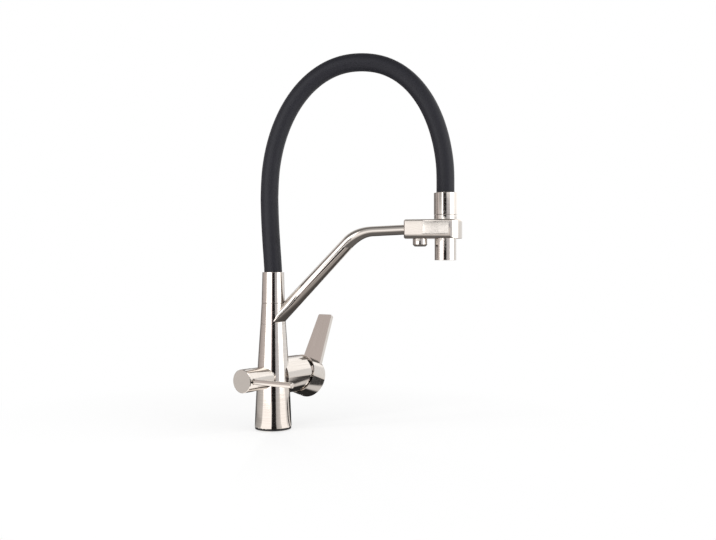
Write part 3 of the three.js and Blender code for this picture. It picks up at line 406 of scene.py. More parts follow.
gasketSet = {"inner": 20.5, "outer": 24.5, "thick": 2, "edge": 0.3}
gasket = turnedPiece("footGasket", sleeve(gasketSet["outer"], 0, gasketSet["thick"], gasketSet["inner"]))
soften(gasket, gasketSet["edge"])
finishPiece(gasket, "tap_body", rubberSeal, "black_rubber", "base_gasket")

# The retaining nut, with a cone at its nose. Its near black colour is painted shade for the gap round it.
nutSet = {"bore": 12.5, "radius": 22.2, "low": 50.3, "shoulder": 54, "nose": 17.35, "high": 57, "edge": 0.3,
          "sides": 96}


def nutOutline(size):
    return [(size["bore"], size["low"]), (size["radius"], size["low"]), (size["radius"], size["shoulder"]),
            (size["nose"], size["high"]), (size["bore"], size["high"])]


nut = turnedPiece("cartridgeNut", nutOutline(nutSet), nutSet["sides"], valveCentre, valveWay)
soften(nut, nutSet["edge"])
# The nut's finish is painted shade: the dark line of the gap between housing and handle.
finishPiece(nut, "tap_body", paintedShadeBrass, "brass", "cartridge_nut")

# Mixer handle: hub, inner boss and flat lever. The key hole takes the grub screw.
handleSet = {
    "pivot": 52, "tilt": 20, "radius": 27.3, "inside": 26, "skirt": 2.7, "floor": 25, "end": 30.3,
    "chamfer": 0.8, "sides": 144, "edge": 0.35,
    "lean": 27, "plate": 5.3, "footWide": 34, "tipWide": 23.4, "footAt": 15, "tipAt": 96.8, "corner": 2,
    "boss": 9, "bossLow": 13, "bossHigh": 26, "key": 2.7, "keyFrom": 3, "keyTo": 30, "keyAt": 19,
}
tilt = math.radians(handleSet["tilt"])
leverLean = math.radians(handleSet["lean"])
hubWay = valveWay * math.cos(tilt) - up * math.sin(tilt)
hubRise = valveWay * math.sin(tilt) + up * math.cos(tilt)
hubCentre = valveCentre + valveWay * handleSet["pivot"]
leverRise = valveWay * math.sin(leverLean) + up * math.cos(leverLean)
leverOut = valveWay * math.cos(leverLean) - up * math.sin(leverLean)
# Nickel plate brushed along the lever.
nickelLever = brushedNickel("brushedNickelLever", [leverRise], lengthwise=True)


# A flat bar, wide at the hub and narrower at its tip, leaning out from the hub's face.
def leverPlate(size):
    length = size["tipAt"] - size["footAt"]
    thick, wide = size["plate"], size["footWide"]
    heel = hubCentre + hubWay * size["end"] + hubRise * size["radius"]
    centre = heel + leverRise * (size["footAt"] + length / 2 - size["radius"]) - leverOut * thick / 2
    plate = boxPiece("leverPlate", (-thick / 2, -wide / 2, -length / 2), (thick / 2, wide / 2, length / 2))
    flareFace(plate, 2, size["tipWide"] / wide)
    roundEdges(plate, size["corner"], 5, 0.5, lambda a, b: min(a.z, b.z) > 0 and abs(a.x - b.x) > 1)
    clearSelection()
    plate.select_set(True)
    bpy.context.view_layer.objects.active = plate
    plate.rotation_euler = Matrix((leverOut, -pinWay, leverRise)).transposed().to_euler()
    plate.location = centre * mm
    bpy.ops.object.transform_apply(location=True, rotation=True, scale=True)
    return plate


def hubOutline(size):
    return [(0, size["skirt"]), (size["radius"], size["skirt"]),
            *chamfered(size["radius"], size["end"], size["chamfer"]), (0, size["end"])]


hub = turnedPiece("mixerHandle", hubOutline(handleSet), handleSet["sides"], hubCentre, hubWay)
combine(hub, leverPlate(handleSet), "UNION")
combine(hub, turnedPiece("hollowTool", sleeve(handleSet["inside"], 0, handleSet["floor"]),
                         handleSet["sides"], hubCentre, hubWay))
combine(hub, turnedPiece("bossTool", sleeve(handleSet["boss"], handleSet["bossLow"], handleSet["bossHigh"]),
                         64, hubCentre, hubWay), "UNION")
combine(hub, turnedPiece("keyTool", sleeve(handleSet["key"], handleSet["keyFrom"], handleSet["keyTo"]),
                         48, hubCentre + hubWay * handleSet["keyAt"], -hubRise))
soften(hub, handleSet["edge"], 2)
finishPiece(hub, "mixer_lever", nickelLever, "brushed_nickel", "mixer_handle")

# Filter knob with its pin lever; the pin's hole and the key hole lie opposite each other.
knobSet = {
    "radius": 15.5, "low": 45.3, "end": 62.6, "chamfer": 0.6, "recess": 10, "recessTop": 46.5,
    "spindle": 4.5, "spindleTop": 60.9, "sides": 128, "edge": 0.25,
    "pinAt": 55.8, "pin": 3.8, "pinFrom": 7, "key": 2.7, "keyFrom": 4.2, "holeTo": 18,
}
pinSet = {"radius": 3.5, "start": 7.3, "end": 80, "chamfer": 0.7, "edge": 0.25, "sides": 64}
pinCentre = valveCentre - valveWay * knobSet["pinAt"]
# Nickel plate brushed round the valve axis, and along the pin.
nickelValve = brushedNickel("brushedNickelValve", [valveWay])
nickelPin = brushedNickel("brushedNickelPin", [pinWay], lengthwise=True)


def knobOutline(size):
    return [(0, size["spindleTop"]), (size["spindle"], size["spindleTop"]),
            (size["spindle"], size["recessTop"]), (size["recess"], size["recessTop"]),
            (size["recess"], size["low"]), (size["radius"], size["low"]),
            *chamfered(size["radius"], size["end"], size["chamfer"]), (0, size["end"])]


knob = turnedPiece("filterKnob", knobOutline(knobSet), knobSet["sides"], valveCentre, -valveWay)
combine(knob, turnedPiece("pinTool", sleeve(knobSet["pin"], knobSet["pinFrom"], knobSet["holeTo"]),
                          48, pinCentre, pinWay))
combine(knob, turnedPiece("keyTool", sleeve(knobSet["key"], knobSet["keyFrom"], knobSet["holeTo"]),
                          48, pinCentre, -pinWay))
soften(knob, knobSet["edge"], 2)
finishPiece(knob, "filter_handle", nickelValve, "brushed_nickel", "filter_knob")

pinOutline = [(0, pinSet["start"]), (pinSet["radius"], pinSet["start"]),
              *chamfered(pinSet["radius"], pinSet["end"], pinSet["chamfer"]), (0, pinSet["end"])]
pin = turnedPiece("filterLeverPin", pinOutline, pinSet["sides"], pinCentre, pinWay)
soften(pin, pinSet["edge"], 2)
finishPiece(pin, "filter_handle", nickelPin, "brushed_nickel", "filter_lever_pin")

# Swivel ring and arm: the arm has a flattened root that rounds off, a bend, and a thinner level end.
# The ring narrows upwards, with bores for the spigot and, above it, for the hose socket's neck.
armSet = {
    "start": (0, 141.6), "corner": (115.2, 266.163), "level": 2.8, "bend": 49, "end": 186.8,
    "foot": 9.8, "thick": 8.9, "taper": 150, "thin": 6.8, "thinFrom": 0.1, "rootHalf": 17.05,
    "rootLength": 56, "rootRows": 20, "riseRows": 5, "bendRows": 18, "endRows": 3, "sides": 72, "edge": 0.2,
    "brushed": 1.3, "brushedTo": 115,
}
ringSet = {"low": 142.3, "high": 170, "foot": 17.2, "top": 15.7, "neck": 14.2, "neckFloor": 164,
           "spigot": 12.7, "collar": 15.7, "collarTop": 143.6, "cutLow": 100, "cutWide": 70}
socketSet = {"bore": 12.4, "neck": 13.9, "low": 164.3, "shoulder": 170.3, "foot": 15.7, "top": 14.6,
             "high": 212, "edge": 0.3, "clear": 0.35, "clearLow": 140, "clearHigh": 212.3}
armRise = math.atan2(armSet["corner"][1] - armSet["start"][1], armSet["corner"][0])
armLevel = math.radians(armSet["level"])
riseWay = Vector((math.cos(armRise), 0, math.sin(armRise)))
levelWay = Vector((math.cos(armLevel), 0, math.sin(armLevel)))
# Nickel plate brushed along the arm, coarser so that it shows on the narrow tube.
nickelArm = brushedNickel("brushedNickelArm", [riseWay, levelWay, armSet["brushedTo"]], lengthwise=True,
                          line=armSet["brushed"])


def eased(share):
    share = min(max(share, 0), 1)
    return share * share * (3 - 2 * share)


def armPiece(size):
    centre = Vector((size["start"][0], 0, size["start"][1]))
    corner = Vector((size["corner"][0], 0, size["corner"][1]))
    bendTurn = armRise - armLevel
    across = Vector((math.sin(armRise), 0, -math.cos(armRise)))
    bendStart = corner - riseWay * size["bend"] * math.tan(bendTurn / 2)
    rise = (bendStart - centre).length
    foot = centre.copy()
    thick, wide = size["foot"], size["rootHalf"]
    root, rootRows, riseRows = size["rootLength"], size["rootRows"], size["riseRows"]
    piece = ringPiece("swivelArm", thick, centre, riseWay, size["sides"], True)
    editPiece(piece)
    bpy.ops.transform.resize(value=(1, wide / thick, 1), center_override=centre * mm)
    stations = [root * row / rootRows for row in range(1, rootRows + 1)]
    stations += [root + (rise - root) * row / riseRows for row in range(1, riseRows + 1)]
    for along in stations:
        nextThick = size["foot"] + (size["thick"] - size["foot"]) * min(along / size["taper"], 1)
        nextWide = size["rootHalf"] + (nextThick - size["rootHalf"]) * eased(along / root)
        nextCentre = foot + riseWay * along
        grow = nextThick / thick
        drawTo(nextCentre - centre, nextCentre, (grow, nextWide / wide, grow))
        centre, thick, wide = nextCentre, nextThick, nextWide
    thickest = thick
    for row in range(1, size["bendRows"] + 1):
        share = row / size["bendRows"]
        swing = bendTurn * share
        nextCentre = bendStart + (riseWay * math.sin(swing) + across * (1 - math.cos(swing))) * size["bend"]
        thinned = eased((share - size["thinFrom"]) / (1 - size["thinFrom"]))
        nextThick = thickest + (size["thin"] - thickest) * thinned
        grow = nextThick / thick
        drawTo(nextCentre - centre, nextCentre, (grow, grow, grow))
        bpy.ops.transform.rotate(value=-bendTurn / size["bendRows"], orient_axis="Y",
                                 center_override=nextCentre * mm)
        centre, thick = nextCentre, nextThick
    rest = levelWay * ((size["end"] - centre.x) / levelWay.x)
    for row in range(size["endRows"]):
        centre = centre + rest / size["endRows"]
        drawTo(rest / size["endRows"], centre)
    closeEdit()
    return piece


def ringOutline(size):
    return [(size["collar"], size["low"]), (size["foot"], size["low"]), (size["top"], size["high"]),
            (size["neck"], size["high"]), (size["neck"], size["neckFloor"]),
            (size["spigot"], size["neckFloor"]), (size["spigot"], size["collarTop"]),
            (size["collar"], size["collarTop"])]


# What the socket and its neck need clear inside the arm's root.
def socketSpace(ring, size):
    return [(0, size["clearLow"]), (ring["neck"], size["clearLow"]), (ring["neck"], ring["high"]),
            (size["foot"] + size["clear"], ring["high"]), (size["top"] + size["clear"], size["clearHigh"]),
            (0, size["clearHigh"])]


def socketOutline(size):
    return [(size["bore"], size["low"]), (size["neck"], size["low"]), (size["neck"], size["shoulder"]),
            (size["foot"], size["shoulder"]), (size["top"], size["high"]), (size["bore"], size["high"])]


arm = armPiece(armSet)
combine(arm, turnedPiece("belowTool", sleeve(ringSet["cutWide"], ringSet["cutLow"], ringSet["low"]), 64))
combine(arm, turnedPiece("socketTool", socketSpace(ringSet, socketSet)))
combine(arm, turnedPiece("ringTool", ringOutline(ringSet)), "UNION")
soften(arm, armSet["edge"], 2)
finishPiece(arm, "spout", nickelArm, "brushed_nickel", "swivel_arm")

socket = turnedPiece("hoseSocket", socketOutline(socketSet))
soften(socket, socketSet["edge"])
finishPiece(socket, "spout", nickelRound, "brushed_nickel", "hose_socket")

# Hose, over the arch and down to the spray head. It leans back as it rises to the spring, where the arch
# starts, and bulges a little on its way down; full is 2 for an ellipse and more for a squarer arch.
hoseSet = {
    "radius": 12.1, "bore": 5.6, "foot": 192, "socket": 212, "end": 299.2, "dock": 233.3,
    "spring": 316.6, "top": 495.8, "crown": 118.65, "full": 2.08, "fullDock": 2.2, "archRows": 16,
    "lean": 5, "leanPower": 1.2, "leanRows": 6, "bulge": 1.5, "bulgeLow": 0.6, "smoothRows": 6, "sides": 14,
    "endGap": 0.3,
}


def hoseRoute(size):
    foot, spring, dock, crown = size["socket"], size["spring"], size["dock"], size["crown"]
    half = size["archRows"] // 2
    points = [(0, size["foot"]), (0, foot)]
    for step in range(1, size["leanRows"]):
        t = step / size["leanRows"]
        points.append((-size["lean"] * math.sin(t * math.pi / 2) ** size["leanPower"],
                       foot + (spring - foot) * t))
    for step in range(size["archRows"] + 1):
        turn = math.pi * step / size["archRows"]
        power = 2 / (size["full"] if step <= half else size["fullDock"])
        reach = -crown - size["lean"] if step <= half else dock - crown
        x = crown + reach * abs(math.cos(turn)) ** power
        if step > half:
            x += size["bulge"] * math.sin(math.pi * (2 - step / half) ** size["bulgeLow"])
        points.append((x, spring + (size["top"] - spring) * abs(math.sin(turn)) ** power))
    points.append((dock, (spring + size["end"] - size["endGap"]) / 2))
    points.append((dock, size["end"]))
    return [Vector((x, 0, z)) for x, z in points]


# A centripetal curve through the points.
def smoothRoute(points, rows):
    ends = [points[0] * 2 - points[1], *points, points[-1] * 2 - points[-2]]
    smooth = []
    for a, b, c, d in zip(ends, ends[1:], ends[2:], ends[3:]):
        ab, bc, cd = ((q - p).length ** 0.5 for p, q in ((a, b), (b, c), (c, d)))
        for row in range(rows):
            t = ab + bc * row / rows
            p = a.lerp(b, t / ab)
            q = b.lerp(c, (t - ab) / bc)
            r = c.lerp(d, (t - ab - bc) / cd)
            smooth.append(p.lerp(q, t / (ab + bc)).lerp(q.lerp(r, (t - ab) / (bc + cd)), (t - ab) / bc))
    return [*smooth, points[-1]]


def tubePiece(name, route, radius, wall, sides):
    clearSelection()
    bpy.ops.curve.primitive_bezier_curve_add()
    piece = bpy.context.object
    piece.location = (0, 0, 0)
    line = piece.data
    line.splines.clear()
    spline = line.splines.new("POLY")
    spline.points.add(len(route) - 1)
    for point, place in zip(spline.points, route):
        point.co = (*(place * mm), 1)
    line.dimensions = "3D"
    line.bevel_depth = radius * mm
    line.bevel_resolution = sides
    line.use_fill_caps = False
    bpy.ops.object.convert(target="MESH")
    piece = newPiece(name)
    editPiece(piece)
    weld(0.01)
    closeEdit()
    applyModifier(piece, "SOLIDIFY", thickness=wall * mm, offset=-1)
    return piece


hosePiece = tubePiece("rubberHose", smoothRoute(hoseRoute(hoseSet), hoseSet["smoothRows"]),
                      hoseSet["radius"], hoseSet["radius"] - hoseSet["bore"], hoseSet["sides"])
bpy.ops.object.shade_smooth_by_angle(angle=math.radians(40))
hosePiece.data.materials.clear()
hosePiece.data.materials.append(rubberHose)
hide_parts("hose")
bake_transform(hosePiece)
print("made", hosePiece.name)

# Holder bar that widens into the dock: its lower edges are rounder than its upper ones.
holderSet = {
    "left": 177.3, "half": 13.4, "flare": 0.14912, "far": 262, "foot": 257.2, "top": 282.6,
    "low": 6, "lowProfile": 0.58, "high": 3, "end": 2.6, "edge": 0.25,
    "dock": 233.3, "radius": 22.4, "rim": 3, "rimRows": 8, "sides": 144,
    "throat": 14.95, "linerBore": 16.85, "linerFloor": 259.2,
    "armHeight": 269.665, "armBore": 7.1, "armDeep": 14.5, "armSpare": 0.3,
    "nozzle": 199.2, "nozzleBore": 8.8, "nozzleTop": 269.5,
    "trimLow": 240, "trimSkin": 0.02, "trimFrom": (150, -40, 230), "trimWide": 40, "trimHigh": 300,
    "cutLow": 250, "cutHigh": 290,
}
dockFoot = Vector((holderSet["dock"], 0, 0))
nozzleFoot = Vector((holderSet["nozzle"], 0, 0))
armEnd = Vector((armSet["end"], 0, holderSet["armHeight"]))
# Nickel plate brushed along the bar.
nickelBar = brushedNickel("brushedNickelBar", [(1, 0, 0)], lengthwise=True)


def holderBar(size):
    left, far, half = size["left"], size["far"], size["half"]
    low, high = size["foot"], size["top"]
    middle = (low + high) / 2
    bar = boxPiece("holderBar", (left, -half, low), (far, half, high))
    flareFace(bar, 0, 1 + size["flare"] * (far - left) / half)
    roundEdges(bar, size["low"], 10, size["lowProfile"],
               lambda a, b: abs(a.x - b.x) > 9 and max(a.z, b.z) < middle)
    roundEdges(bar, size["high"], 8, 0.5, lambda a, b: abs(a.x - b.x) > 9 and min(a.z, b.z) > high - 1)
    roundEdges(bar, size["end"], 6, 0.5, lambda a, b: max(a.x, b.x) < left + 1)
    return bar


# Behind the dock's axis the bar runs on whole, beyond it a round body with a rounded rim ends it.
def dockTrim(size):
    radius, rim, top = size["radius"], size["rim"], size["top"] + size["trimSkin"]
    outline = [(0, size["trimLow"]), (radius, size["trimLow"])]
    for row in range(size["rimRows"] + 1):
        lift = math.pi / 2 * row / size["rimRows"]
        outline.append((radius - rim + rim * math.cos(lift), top - rim + rim * math.sin(lift)))
    trim = turnedPiece("dockTrim", [*outline, (0, top)], size["sides"], dockFoot)
    farCorner = (size["dock"], size["trimWide"], size["trimHigh"])
    return combine(trim, boxPiece("barTrim", size["trimFrom"], farCorner), "UNION")


# The dock's bore, with a step for the liner.
def dockBore(size):
    return [(0, size["cutLow"]), (size["throat"], size["cutLow"]), (size["throat"], size["linerFloor"]),
            (size["linerBore"], size["linerFloor"]), (size["linerBore"], size["cutHigh"]),
            (0, size["cutHigh"])]


holder = holderBar(holderSet)
combine(holder, dockTrim(holderSet), "INTERSECT")
combine(holder, turnedPiece("boreTool", dockBore(holderSet), 128, dockFoot))
combine(holder, turnedPiece("armTool", sleeve(holderSet["armBore"], -holderSet["armDeep"],
                                              holderSet["armSpare"]), 96, armEnd, levelWay))
combine(holder, turnedPiece("nozzleTool", sleeve(holderSet["nozzleBore"], holderSet["cutLow"],
                                                 holderSet["nozzleTop"]), 96, nozzleFoot))
soften(holder, holderSet["edge"], 2, 40)
finishPiece(holder, "spout", nickelBar, "brushed_nickel", "holder")

# Filtered water nozzle: a cone at its mouth, and a neck that sits in the bar.
nozzleSet = {"mouth": 6.8, "lip": 7.4, "radius": 9.8, "neck": 8.5, "bore": 4, "low": 246.6, "coneTop": 249,
             "mouthTop": 251.9, "shoulder": 256.9, "high": 269.2, "edge": 0.2, "sides": 96}


def nozzleOutline(size):
    return [(size["mouth"], size["low"]), (size["lip"], size["low"]), (size["radius"], size["coneTop"]),
            (size["radius"], size["shoulder"]), (size["neck"], size["shoulder"]),
            (size["neck"], size["high"]), (size["bore"], size["high"]), (size["bore"], size["mouthTop"]),
            (size["mouth"], size["mouthTop"])]


nozzle = turnedPiece("filterNozzle", nozzleOutline(nozzleSet), nozzleSet["sides"], nozzleFoot)
soften(nozzle, nozzleSet["edge"], 2)
finishPiece(nozzle, "spout", nickelRound, "brushed_nickel", "filter_nozzle")

linerSet = {"bore": 14.95, "radius": 16.55, "low": 259.5, "high": 282.6, "edge": 0.25}
linerOutline = sleeve(linerSet["radius"], linerSet["low"], linerSet["high"], linerSet["bore"])
liner = turnedPiece("dockLiner", linerOutline, 128, dockFoot)
soften(liner, linerSet["edge"], 2)
finishPiece(liner, "spout", greyPlastic, "grey_plastic", "dock_liner")

# Spray head, docked: a tube with a flange that rests on the liner, and a neck for the ferrule.
spraySet = {
    "mouth": 12.9, "radius": 14.5, "low": 228.1, "mouthTop": 234.9, "bore": 11.9, "boreTop": 276.9,
    "flange": 15.35, "flangeLow": 282.9, "flangeHigh": 288.6, "valveBore": 5.7, "valveTop": 289.2,
    "neck": 9.2, "neckBore": 3.2, "high": 294.6, "edge": 0.25,
}
ferruleSet = {"neck": 9.5, "radius": 15.5, "low": 288.9, "high": 318.6, "bore": 12.4, "boreFloor": 298.9,
              "edge": 0.4}


def sprayOutline(size):
    return [(size["mouth"], size["low"]), (size["radius"], size["low"]), (size["radius"], size["flangeLow"]),
            (size["flange"], size["flangeLow"]), (size["flange"], size["flangeHigh"]),
            (size["neck"], size["flangeHigh"]), (size["neck"], size["high"]),
            (size["neckBore"], size["high"]), (size["neckBore"], size["valveTop"]),
            (size["valveBore"], size["valveTop"]), (size["valveBore"], size["boreTop"]),
            (size["bore"], size["boreTop"]), (size["bore"], size["mouthTop"]),
            (size["mouth"], size["mouthTop"])]


def ferruleOutline(size):
    return [(size["neck"], size["low"]), (size["radius"], size["low"]), (size["radius"], size["high"]),
            (size["bore"], size["high"]), (size["bore"], size["boreFloor"]),
            (size["neck"], size["boreFloor"])]


sprayBody = turnedPiece("sprayBody", sprayOutline(spraySet), 128, dockFoot)
soften(sprayBody, spraySet["edge"], 2)
finishPiece(sprayBody, "spray_head", nickelRound, "brushed_nickel", "spray_body")

ferrule = turnedPiece("hoseFerrule", ferruleOutline(ferruleSet), 128, dockFoot)
soften(ferrule, ferruleSet["edge"])
finishPiece(ferrule, "spray_head", nickelRound, "brushed_nickel", "hose_ferrule")

# Round outlet plates, each sunk inside its rim, with a ring of holes round a middle one.
sieveSet = {"rim": 1.5, "sunk": 0.6, "back": 2.1, "ring": 0.62, "edge": 0.15, "sides": 96, "holeSides": 24,
            "cutBelow": 1, "cutAbove": 8}
sprayPlateSet = {"radius": 12.6, "face": 228.7, "length": 5.9, "hole": 1.2, "holes": 8}
nozzlePlateSet = {"radius": 6.5, "face": 247, "length": 4.6, "hole": 0.7, "holes": 4}


def sieve(name, size, foot):
    radius, face, holes = size["radius"], size["face"], size["holes"]
    rim = radius - sieveSet["rim"]
    front, back, end = face + sieveSet["sunk"], face + sieveSet["back"], face + size["length"]
    plate = turnedPiece(name, [(0, front), (rim, front), (rim, face), (radius, face), (radius, end),
                               (rim, end), (rim, back), (0, back)], sieveSet["sides"], foot)
    hole = sleeve(size["hole"], face - sieveSet["cutBelow"], face + sieveSet["cutAbove"])
    for i in range(holes + 1):
        turn = math.tau * i / holes
        reach = 0 if i == holes else rim * sieveSet["ring"]
        centre = foot + Vector((reach * math.cos(turn), reach * math.sin(turn), 0))
        combine(plate, turnedPiece("holeTool", hole, sieveSet["holeSides"], centre))
    soften(plate, sieveSet["edge"], 2)
    return plate


sprayPlate = sieve("sprayAerator", sprayPlateSet, dockFoot)
finishPiece(sprayPlate, "spray_head", greyPlastic, "grey_plastic", "spray_aerator")
nozzlePlate = sieve("filterAerator", nozzlePlateSet, nozzleFoot)
finishPiece(nozzlePlate, "spout", greyPlastic, "grey_plastic", "filter_aerator")

# Soft boxes: a low corner, the ways across and up in metres, and the level they show at.
softboxSet = {
    "softboxLeft": {"corner": (-0.87, -0.50, 0), "across": (0.885, -0.20, 0), "rise": (0, 0, 1.05),
                    "level": 1.5},
    "softboxRight": {"corner": (0.945, -0.71, 0), "across": (0.155, 0.74, 0), "rise": (0, 0, 1.05),
                     "level": 1.45},
}
# Cards that only the metal mirrors: placed as the soft boxes are, with a tint, and levels by the share of
# the way across (X) or up (Y). Those close to the bar and the arm are clear from behind.
cardSet = {
    "cardLeft": {
        "corner": (-0.78, 0.52, 0), "across": (-0.10, -1.01, 0), "rise": (0, 0, 1.15),
        "tint": (1, 0.91, 0.885), "side": "X", "stops": ((0, 0.45), (0.35, 0.58), (0.75, 0.74), (1, 0.76))},
    "cardFront": {
        "corner": (-0.105, -0.665, -0.05), "across": (0.435, -0.03, 0), "rise": (0, 0, 0.333),
        "tint": (1, 0.87, 0.9), "side": "X",
        "stops": ((0, 1.3), (0.16, 0.7), (0.23, 0.03), (0.3, 0.012), (1, 0.02))},
    "cardFrontMiddle": {
        "corner": (0.015, -0.70, 0.283), "across": (0.32, 0, 0), "rise": (0, 0, 0.039),
        "tint": (1, 1, 1), "side": "X", "stops": ((0, 1.5), (0.3, 1.5), (0.45, 0.55), (1, 0.58))},
    "cardFrontTop": {
        "corner": (-0.11, -0.665, 0.322), "across": (0.44, -0.03, 0), "rise": (0, 0, 0.078),
        "tint": (1, 0.87, 0.9), "side": "X", "stops": ((0, 0.25), (0.24, 0.15), (0.26, 0.012), (1, 0.02))},
    "cardFrontHigh": {
        "corner": (-0.26, -0.625, 0.40), "across": (0.27, -0.06, 0), "rise": (0, 0, 0.13),
        "tint": (1, 0.9, 0.88), "side": "X", "stops": ((0, 0.2), (1, 0.18))},
    "cardUnderBar": {
        "corner": (0.03, -0.5, 0.245), "across": (0.232, 0, 0), "rise": (0, 0.55, 0),
        "tint": (1, 0.95, 0.92), "side": "Y", "clearBehind": True,
        "stops": ((0, 0.95), (0.727, 0.9), (0.8, 0.85), (0.827, 0.45), (0.844, 0.2), (0.88, 0.17),
                  (0.91, 0.17), (0.93, 0.05), (1, 0.04))},
    "cardUnderArmFront": {
        "corner": (0.19, -0.06, 0.256), "across": (-0.085, 0, 0), "rise": (0, 0, 0.075),
        "tint": (1, 0.98, 0.97), "side": "Y", "clearBehind": True,
        "stops": ((0, 0.9), (0.1, 1.4), (0.3, 1.4), (0.5, 0.9), (0.75, 0.6), (1, 0.46))},
    "cardUnderArm": {
        "corner": (0, -0.33, 0.145), "across": (0.32, 0, 0), "rise": (0, 0.45, 0),
        "tint": (1, 0.93, 0.89), "side": "Y", "clearBehind": True,
        "stops": ((0, 0.9), (0.15, 0.85), (0.33, 0.42), (0.5, 0.4), (0.57, 0.48), (0.63, 0.26), (0.7, 0.1),
                  (1, 0.08))},
    "cardRight": {
        "corner": (0.335, -0.70, -0.05), "across": (0.605, -0.01, 0), "rise": (0, 0, 0.425),
        "tint": (0.97, 0.96, 1), "side": "X", "stops": ((0, 0.58), (1, 0.88))},
    "cardOver": {
        "corner": (0.015, -0.70, 0.40), "across": (0.93, 0, 0), "rise": (0, 0, 0.95),
        "tint": (1, 0.98, 0.97), "side": "Y",
        "stops": ((0, 1.4), (0.18, 1.35), (0.4, 0.87), (0.75, 0.55), (1, 0.5))},
    "cardBack": {
        "corner": (0.45, 1.0, 0), "across": (-1.23, -0.47, 0), "rise": (0, 0, 0.45),
        "tint": (1, 0.92, 0.89), "side": "X", "stops": ((0, 0.5), (0.4, 0.3), (1, 0.2))},
    "cardHigh": {
        "corner": (1.10, 0.05, 0.33), "across": (-0.95, 0.95, 0), "rise": (0, 0, 0.9),
        "tint": (1, 0.99, 0.98), "side": "X", "stops": ((0, 1.4), (1, 1.4))},
    "cardCeiling": {
        "corner": (-1.1, -0.9, 1.35), "across": (2.4, 0, 0), "rise": (0, 2, 0),
        "tint": (1, 0.97, 0.95), "side": "Y",
        "stops": ((0, 0.55), (0.1, 0.5), (0.31, 0.2), (0.45, 0.2), (0.65, 0.48), (1, 0.5))},
}
brightest = 1.5  # a ramp holds a card's levels as shares of this


def flatPlace(corner, across, rise):
    across, rise = Vector(across), Vector(rise)
    turned = Matrix((across.normalized(), rise.normalized(), across.cross(rise).normalized())).transposed()
    centre = Vector(corner) + (across + rise) / 2
    return centre, turned.to_euler(), across.length, rise.length


def softbox(name, corner, across, rise, level):
    centre, turned, width, height = flatPlace(corner, across, rise)
    bpy.ops.object.light_add(type="AREA", location=centre, rotation=turned)
    light = bpy.context.object
    light.name = name
    light.data.shape = "RECTANGLE"
    light.data.size, light.data.size_y = width, height
    light.data.energy = level * math.pi * width * height
    light.visible_camera = False


# A card's tones: its level follows a share, through stops of share and level.
def cardTones(tree, tint, share, stops):
    ramp = addNode(tree, "ValToRGB", {"Fac": share})
    for at, level in stops[1:-1]:
        ramp.color_ramp.elements.new(at)
    for element, (at, level) in zip(ramp.color_ramp.elements, stops):
        element.position = at
        element.color = (*[level * part / brightest for part in tint], 1)
    return ramp.outputs[0]


def cardGlow(tree, tone, clear=0.0):
    tree.nodes.remove(tree.nodes["Principled BSDF"])
    glow = addNode(tree, "Emission", {"Color": tone, "Strength": brightest}).outputs[0]
    mix = addNode(tree, "MixShader", {0: clear, 1: glow, 2: addNode(tree, "BsdfTransparent").outputs[0]})
    tree.links.new(mix.outputs[0], tree.nodes["Material Output"].inputs["Surface"])


def mirrorOnly(card):
    card.visible_camera = False
    card.visible_diffuse = False
    card.visible_shadow = False
    card.visible_transmission = False


def mirroredCard(name, corner, across, rise, tint, side, stops, clearBehind=False):
    centre, turned, width, height = flatPlace(corner, across, rise)
    clearSelection()
    bpy.ops.mesh.primitive_plane_add(size=1, location=centre, rotation=turned)
    card = bpy.context.object
    card.name = name
    card.scale = (width, height, 1)
    material, tree, _ = newMaterial(name)
    spot = addNode(tree, "TexCoord").outputs["Object"]
    fromMiddle = addNode(tree, "SeparateXYZ", {"Vector": spot}).outputs[side]
    share = addNode(tree, "Math", {0: fromMiddle, 1: 0.5}, operation="ADD").outputs[0]
    clear = addNode(tree, "NewGeometry").outputs["Backfacing"] if clearBehind else 0.0
    cardGlow(tree, cardTones(tree, tint, share, stops), clear)
    card.data.materials.append(material)
    mirrorOnly(card)


for name, values in softboxSet.items():
    softbox(name, **values)
for name, values in cardSet.items():
    mirroredCard(name, **values)

# What the metal mirrors below: the cards' levels run on to the foot in front, by the angle in degrees
# from the front round to the right; beside and behind the foot it is dark, with one light band.
frontStops = ((-59, 1.5), (-2, 1.5), (0, 0.02), (25, 0.02), (27, 0.58), (52, 0.88), (55, 1.45), (92, 1.45))
tableSet = {
    "radius": 1.0, "below": 1, "tint": (1, 0.97, 0.95), "middle": (0.13, 0.05, 0),
    "nearTo": 0.29, "farFrom": 0.36,
    "near": ((-180, 0.03), (-135, 0.03), (-110, 0.4), (-70, 0.6), (-63, 0.7), *frontStops,
             (97, 1.0), (106, 0.9), (109, 0.07), (117.5, 0.07), (119.5, 0.85), (129, 0.85), (134, 0.03),
             (180, 0.03)),
    "far": ((-180, 0.2), (-125, 0.2), (-120, 0.45), (-105, 0.58), (-75, 0.74), (-63, 0.76), *frontStops,
            (96, 1.0), (150, 0.9), (170, 0.5), (180, 0.2)),
}
clearSelection()
bpy.ops.mesh.primitive_circle_add(vertices=96, radius=tableSet["radius"], fill_type="NGON",
                                  location=(0, 0, -tableSet["below"] * mm))
table = bpy.context.object
table.name = "tableMirrored"
tableSurface, tree, _ = newMaterial("tableMirrored")
spot = addNode(tree, "TexCoord").outputs["Object"]
sides = addNode(tree, "SeparateXYZ", {"Vector": spot}).outputs
front = addNode(tree, "Math", {0: sides["Y"], 1: -1}, operation="MULTIPLY").outputs[0]
angle = addNode(tree, "Math", {0: sides["X"], 1: front}, operation="ARCTAN2").outputs[0]
share = addNode(tree, "MapRange", {"Value": angle, "From Min": -math.pi, "From Max": math.pi}).outputs[0]
near, far = (cardTones(tree, tableSet["tint"], share, [((at + 180) / 360, level) for at, level in stops])
             for stops in (tableSet["near"], tableSet["far"]))
reach = addNode(tree, "VectorMath", {0: spot, 1: tableSet["middle"]}, operation="DISTANCE").outputs["Value"]
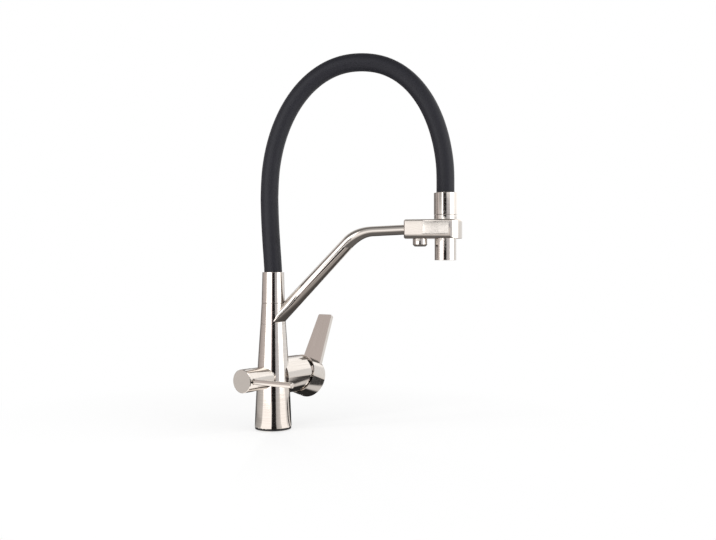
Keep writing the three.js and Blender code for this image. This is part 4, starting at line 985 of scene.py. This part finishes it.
farShare = addNode(tree, "MapRange", {"Value": reach, "From Min": tableSet["nearTo"],
                                      "From Max": tableSet["farFrom"]}).outputs[0]
tone = addNode(tree, "Mix", {"Factor": farShare, 6: near, 7: far}, data_type="RGBA").outputs[2]
cardGlow(tree, tone)
table.data.materials.append(tableSurface)
mirrorOnly(table)


# One for rays that come straight from the camera or off a mirror, nothing for the others.
def seenRays(tree):
    rays = addNode(tree, "LightPath").outputs
    seen = addNode(tree, "Math", {0: rays["Is Camera Ray"], 1: rays["Is Glossy Ray"]}, operation="MAXIMUM")
    passed = addNode(tree, "Math", {0: seen.outputs[0], 1: rays["Is Transmission Ray"]}, operation="MAXIMUM")
    return passed.outputs[0]


# The floor shows as white from far on, and nearer the foot it keeps more of the shadow.
floorSet = {"size": 60, "below": 1.5, "grey": 0.9, "rough": 0.9, "nearWhite": 0.7, "nearTo": 0.1,
            "farFrom": 0.5}
clearSelection()
bpy.ops.mesh.primitive_plane_add(size=floorSet["size"], location=(0, 0, -floorSet["below"] * mm))
floor = bpy.context.object
floor.name = "paleFloor"
floorSurface, tree, shader = newMaterial("paleFloor", Base_Color=(*[floorSet["grey"]] * 3, 1),
                                         Roughness=floorSet["rough"])
glow = addNode(tree, "Emission", {"Color": (1, 1, 1, 1), "Strength": 1.0})
spot = addNode(tree, "TexCoord").outputs["Object"]
reach = addNode(tree, "VectorMath", {0: spot}, operation="LENGTH").outputs["Value"]
white = addNode(tree, "MapRange", {"Value": reach, "From Min": floorSet["nearTo"],
                                   "From Max": floorSet["farFrom"], "To Min": floorSet["nearWhite"]})
share = addNode(tree, "Math", {0: seenRays(tree), 1: white.outputs[0]}, operation="MULTIPLY")
mix = addNode(tree, "MixShader", {0: share.outputs[0], 1: shader.outputs[0], 2: glow.outputs[0]})
tree.links.new(mix.outputs[0], tree.nodes["Material Output"].inputs["Surface"])
floor.data.materials.append(floorSurface)

# A white room that lights a little less than it shows.
roomSet = {"light": 0.8}
world = bpy.data.worlds.new("studio")
bpy.context.scene.world = world
world.use_nodes = True
tree = world.node_tree
level = addNode(tree, "MapRange", {"Value": seenRays(tree), "To Min": roomSet["light"]}).outputs[0]
tree.links.new(level, tree.nodes["Background"].inputs["Strength"])
tree.nodes["Background"].inputs["Color"].default_value = (1, 1, 1, 1)
print("light and floor set")
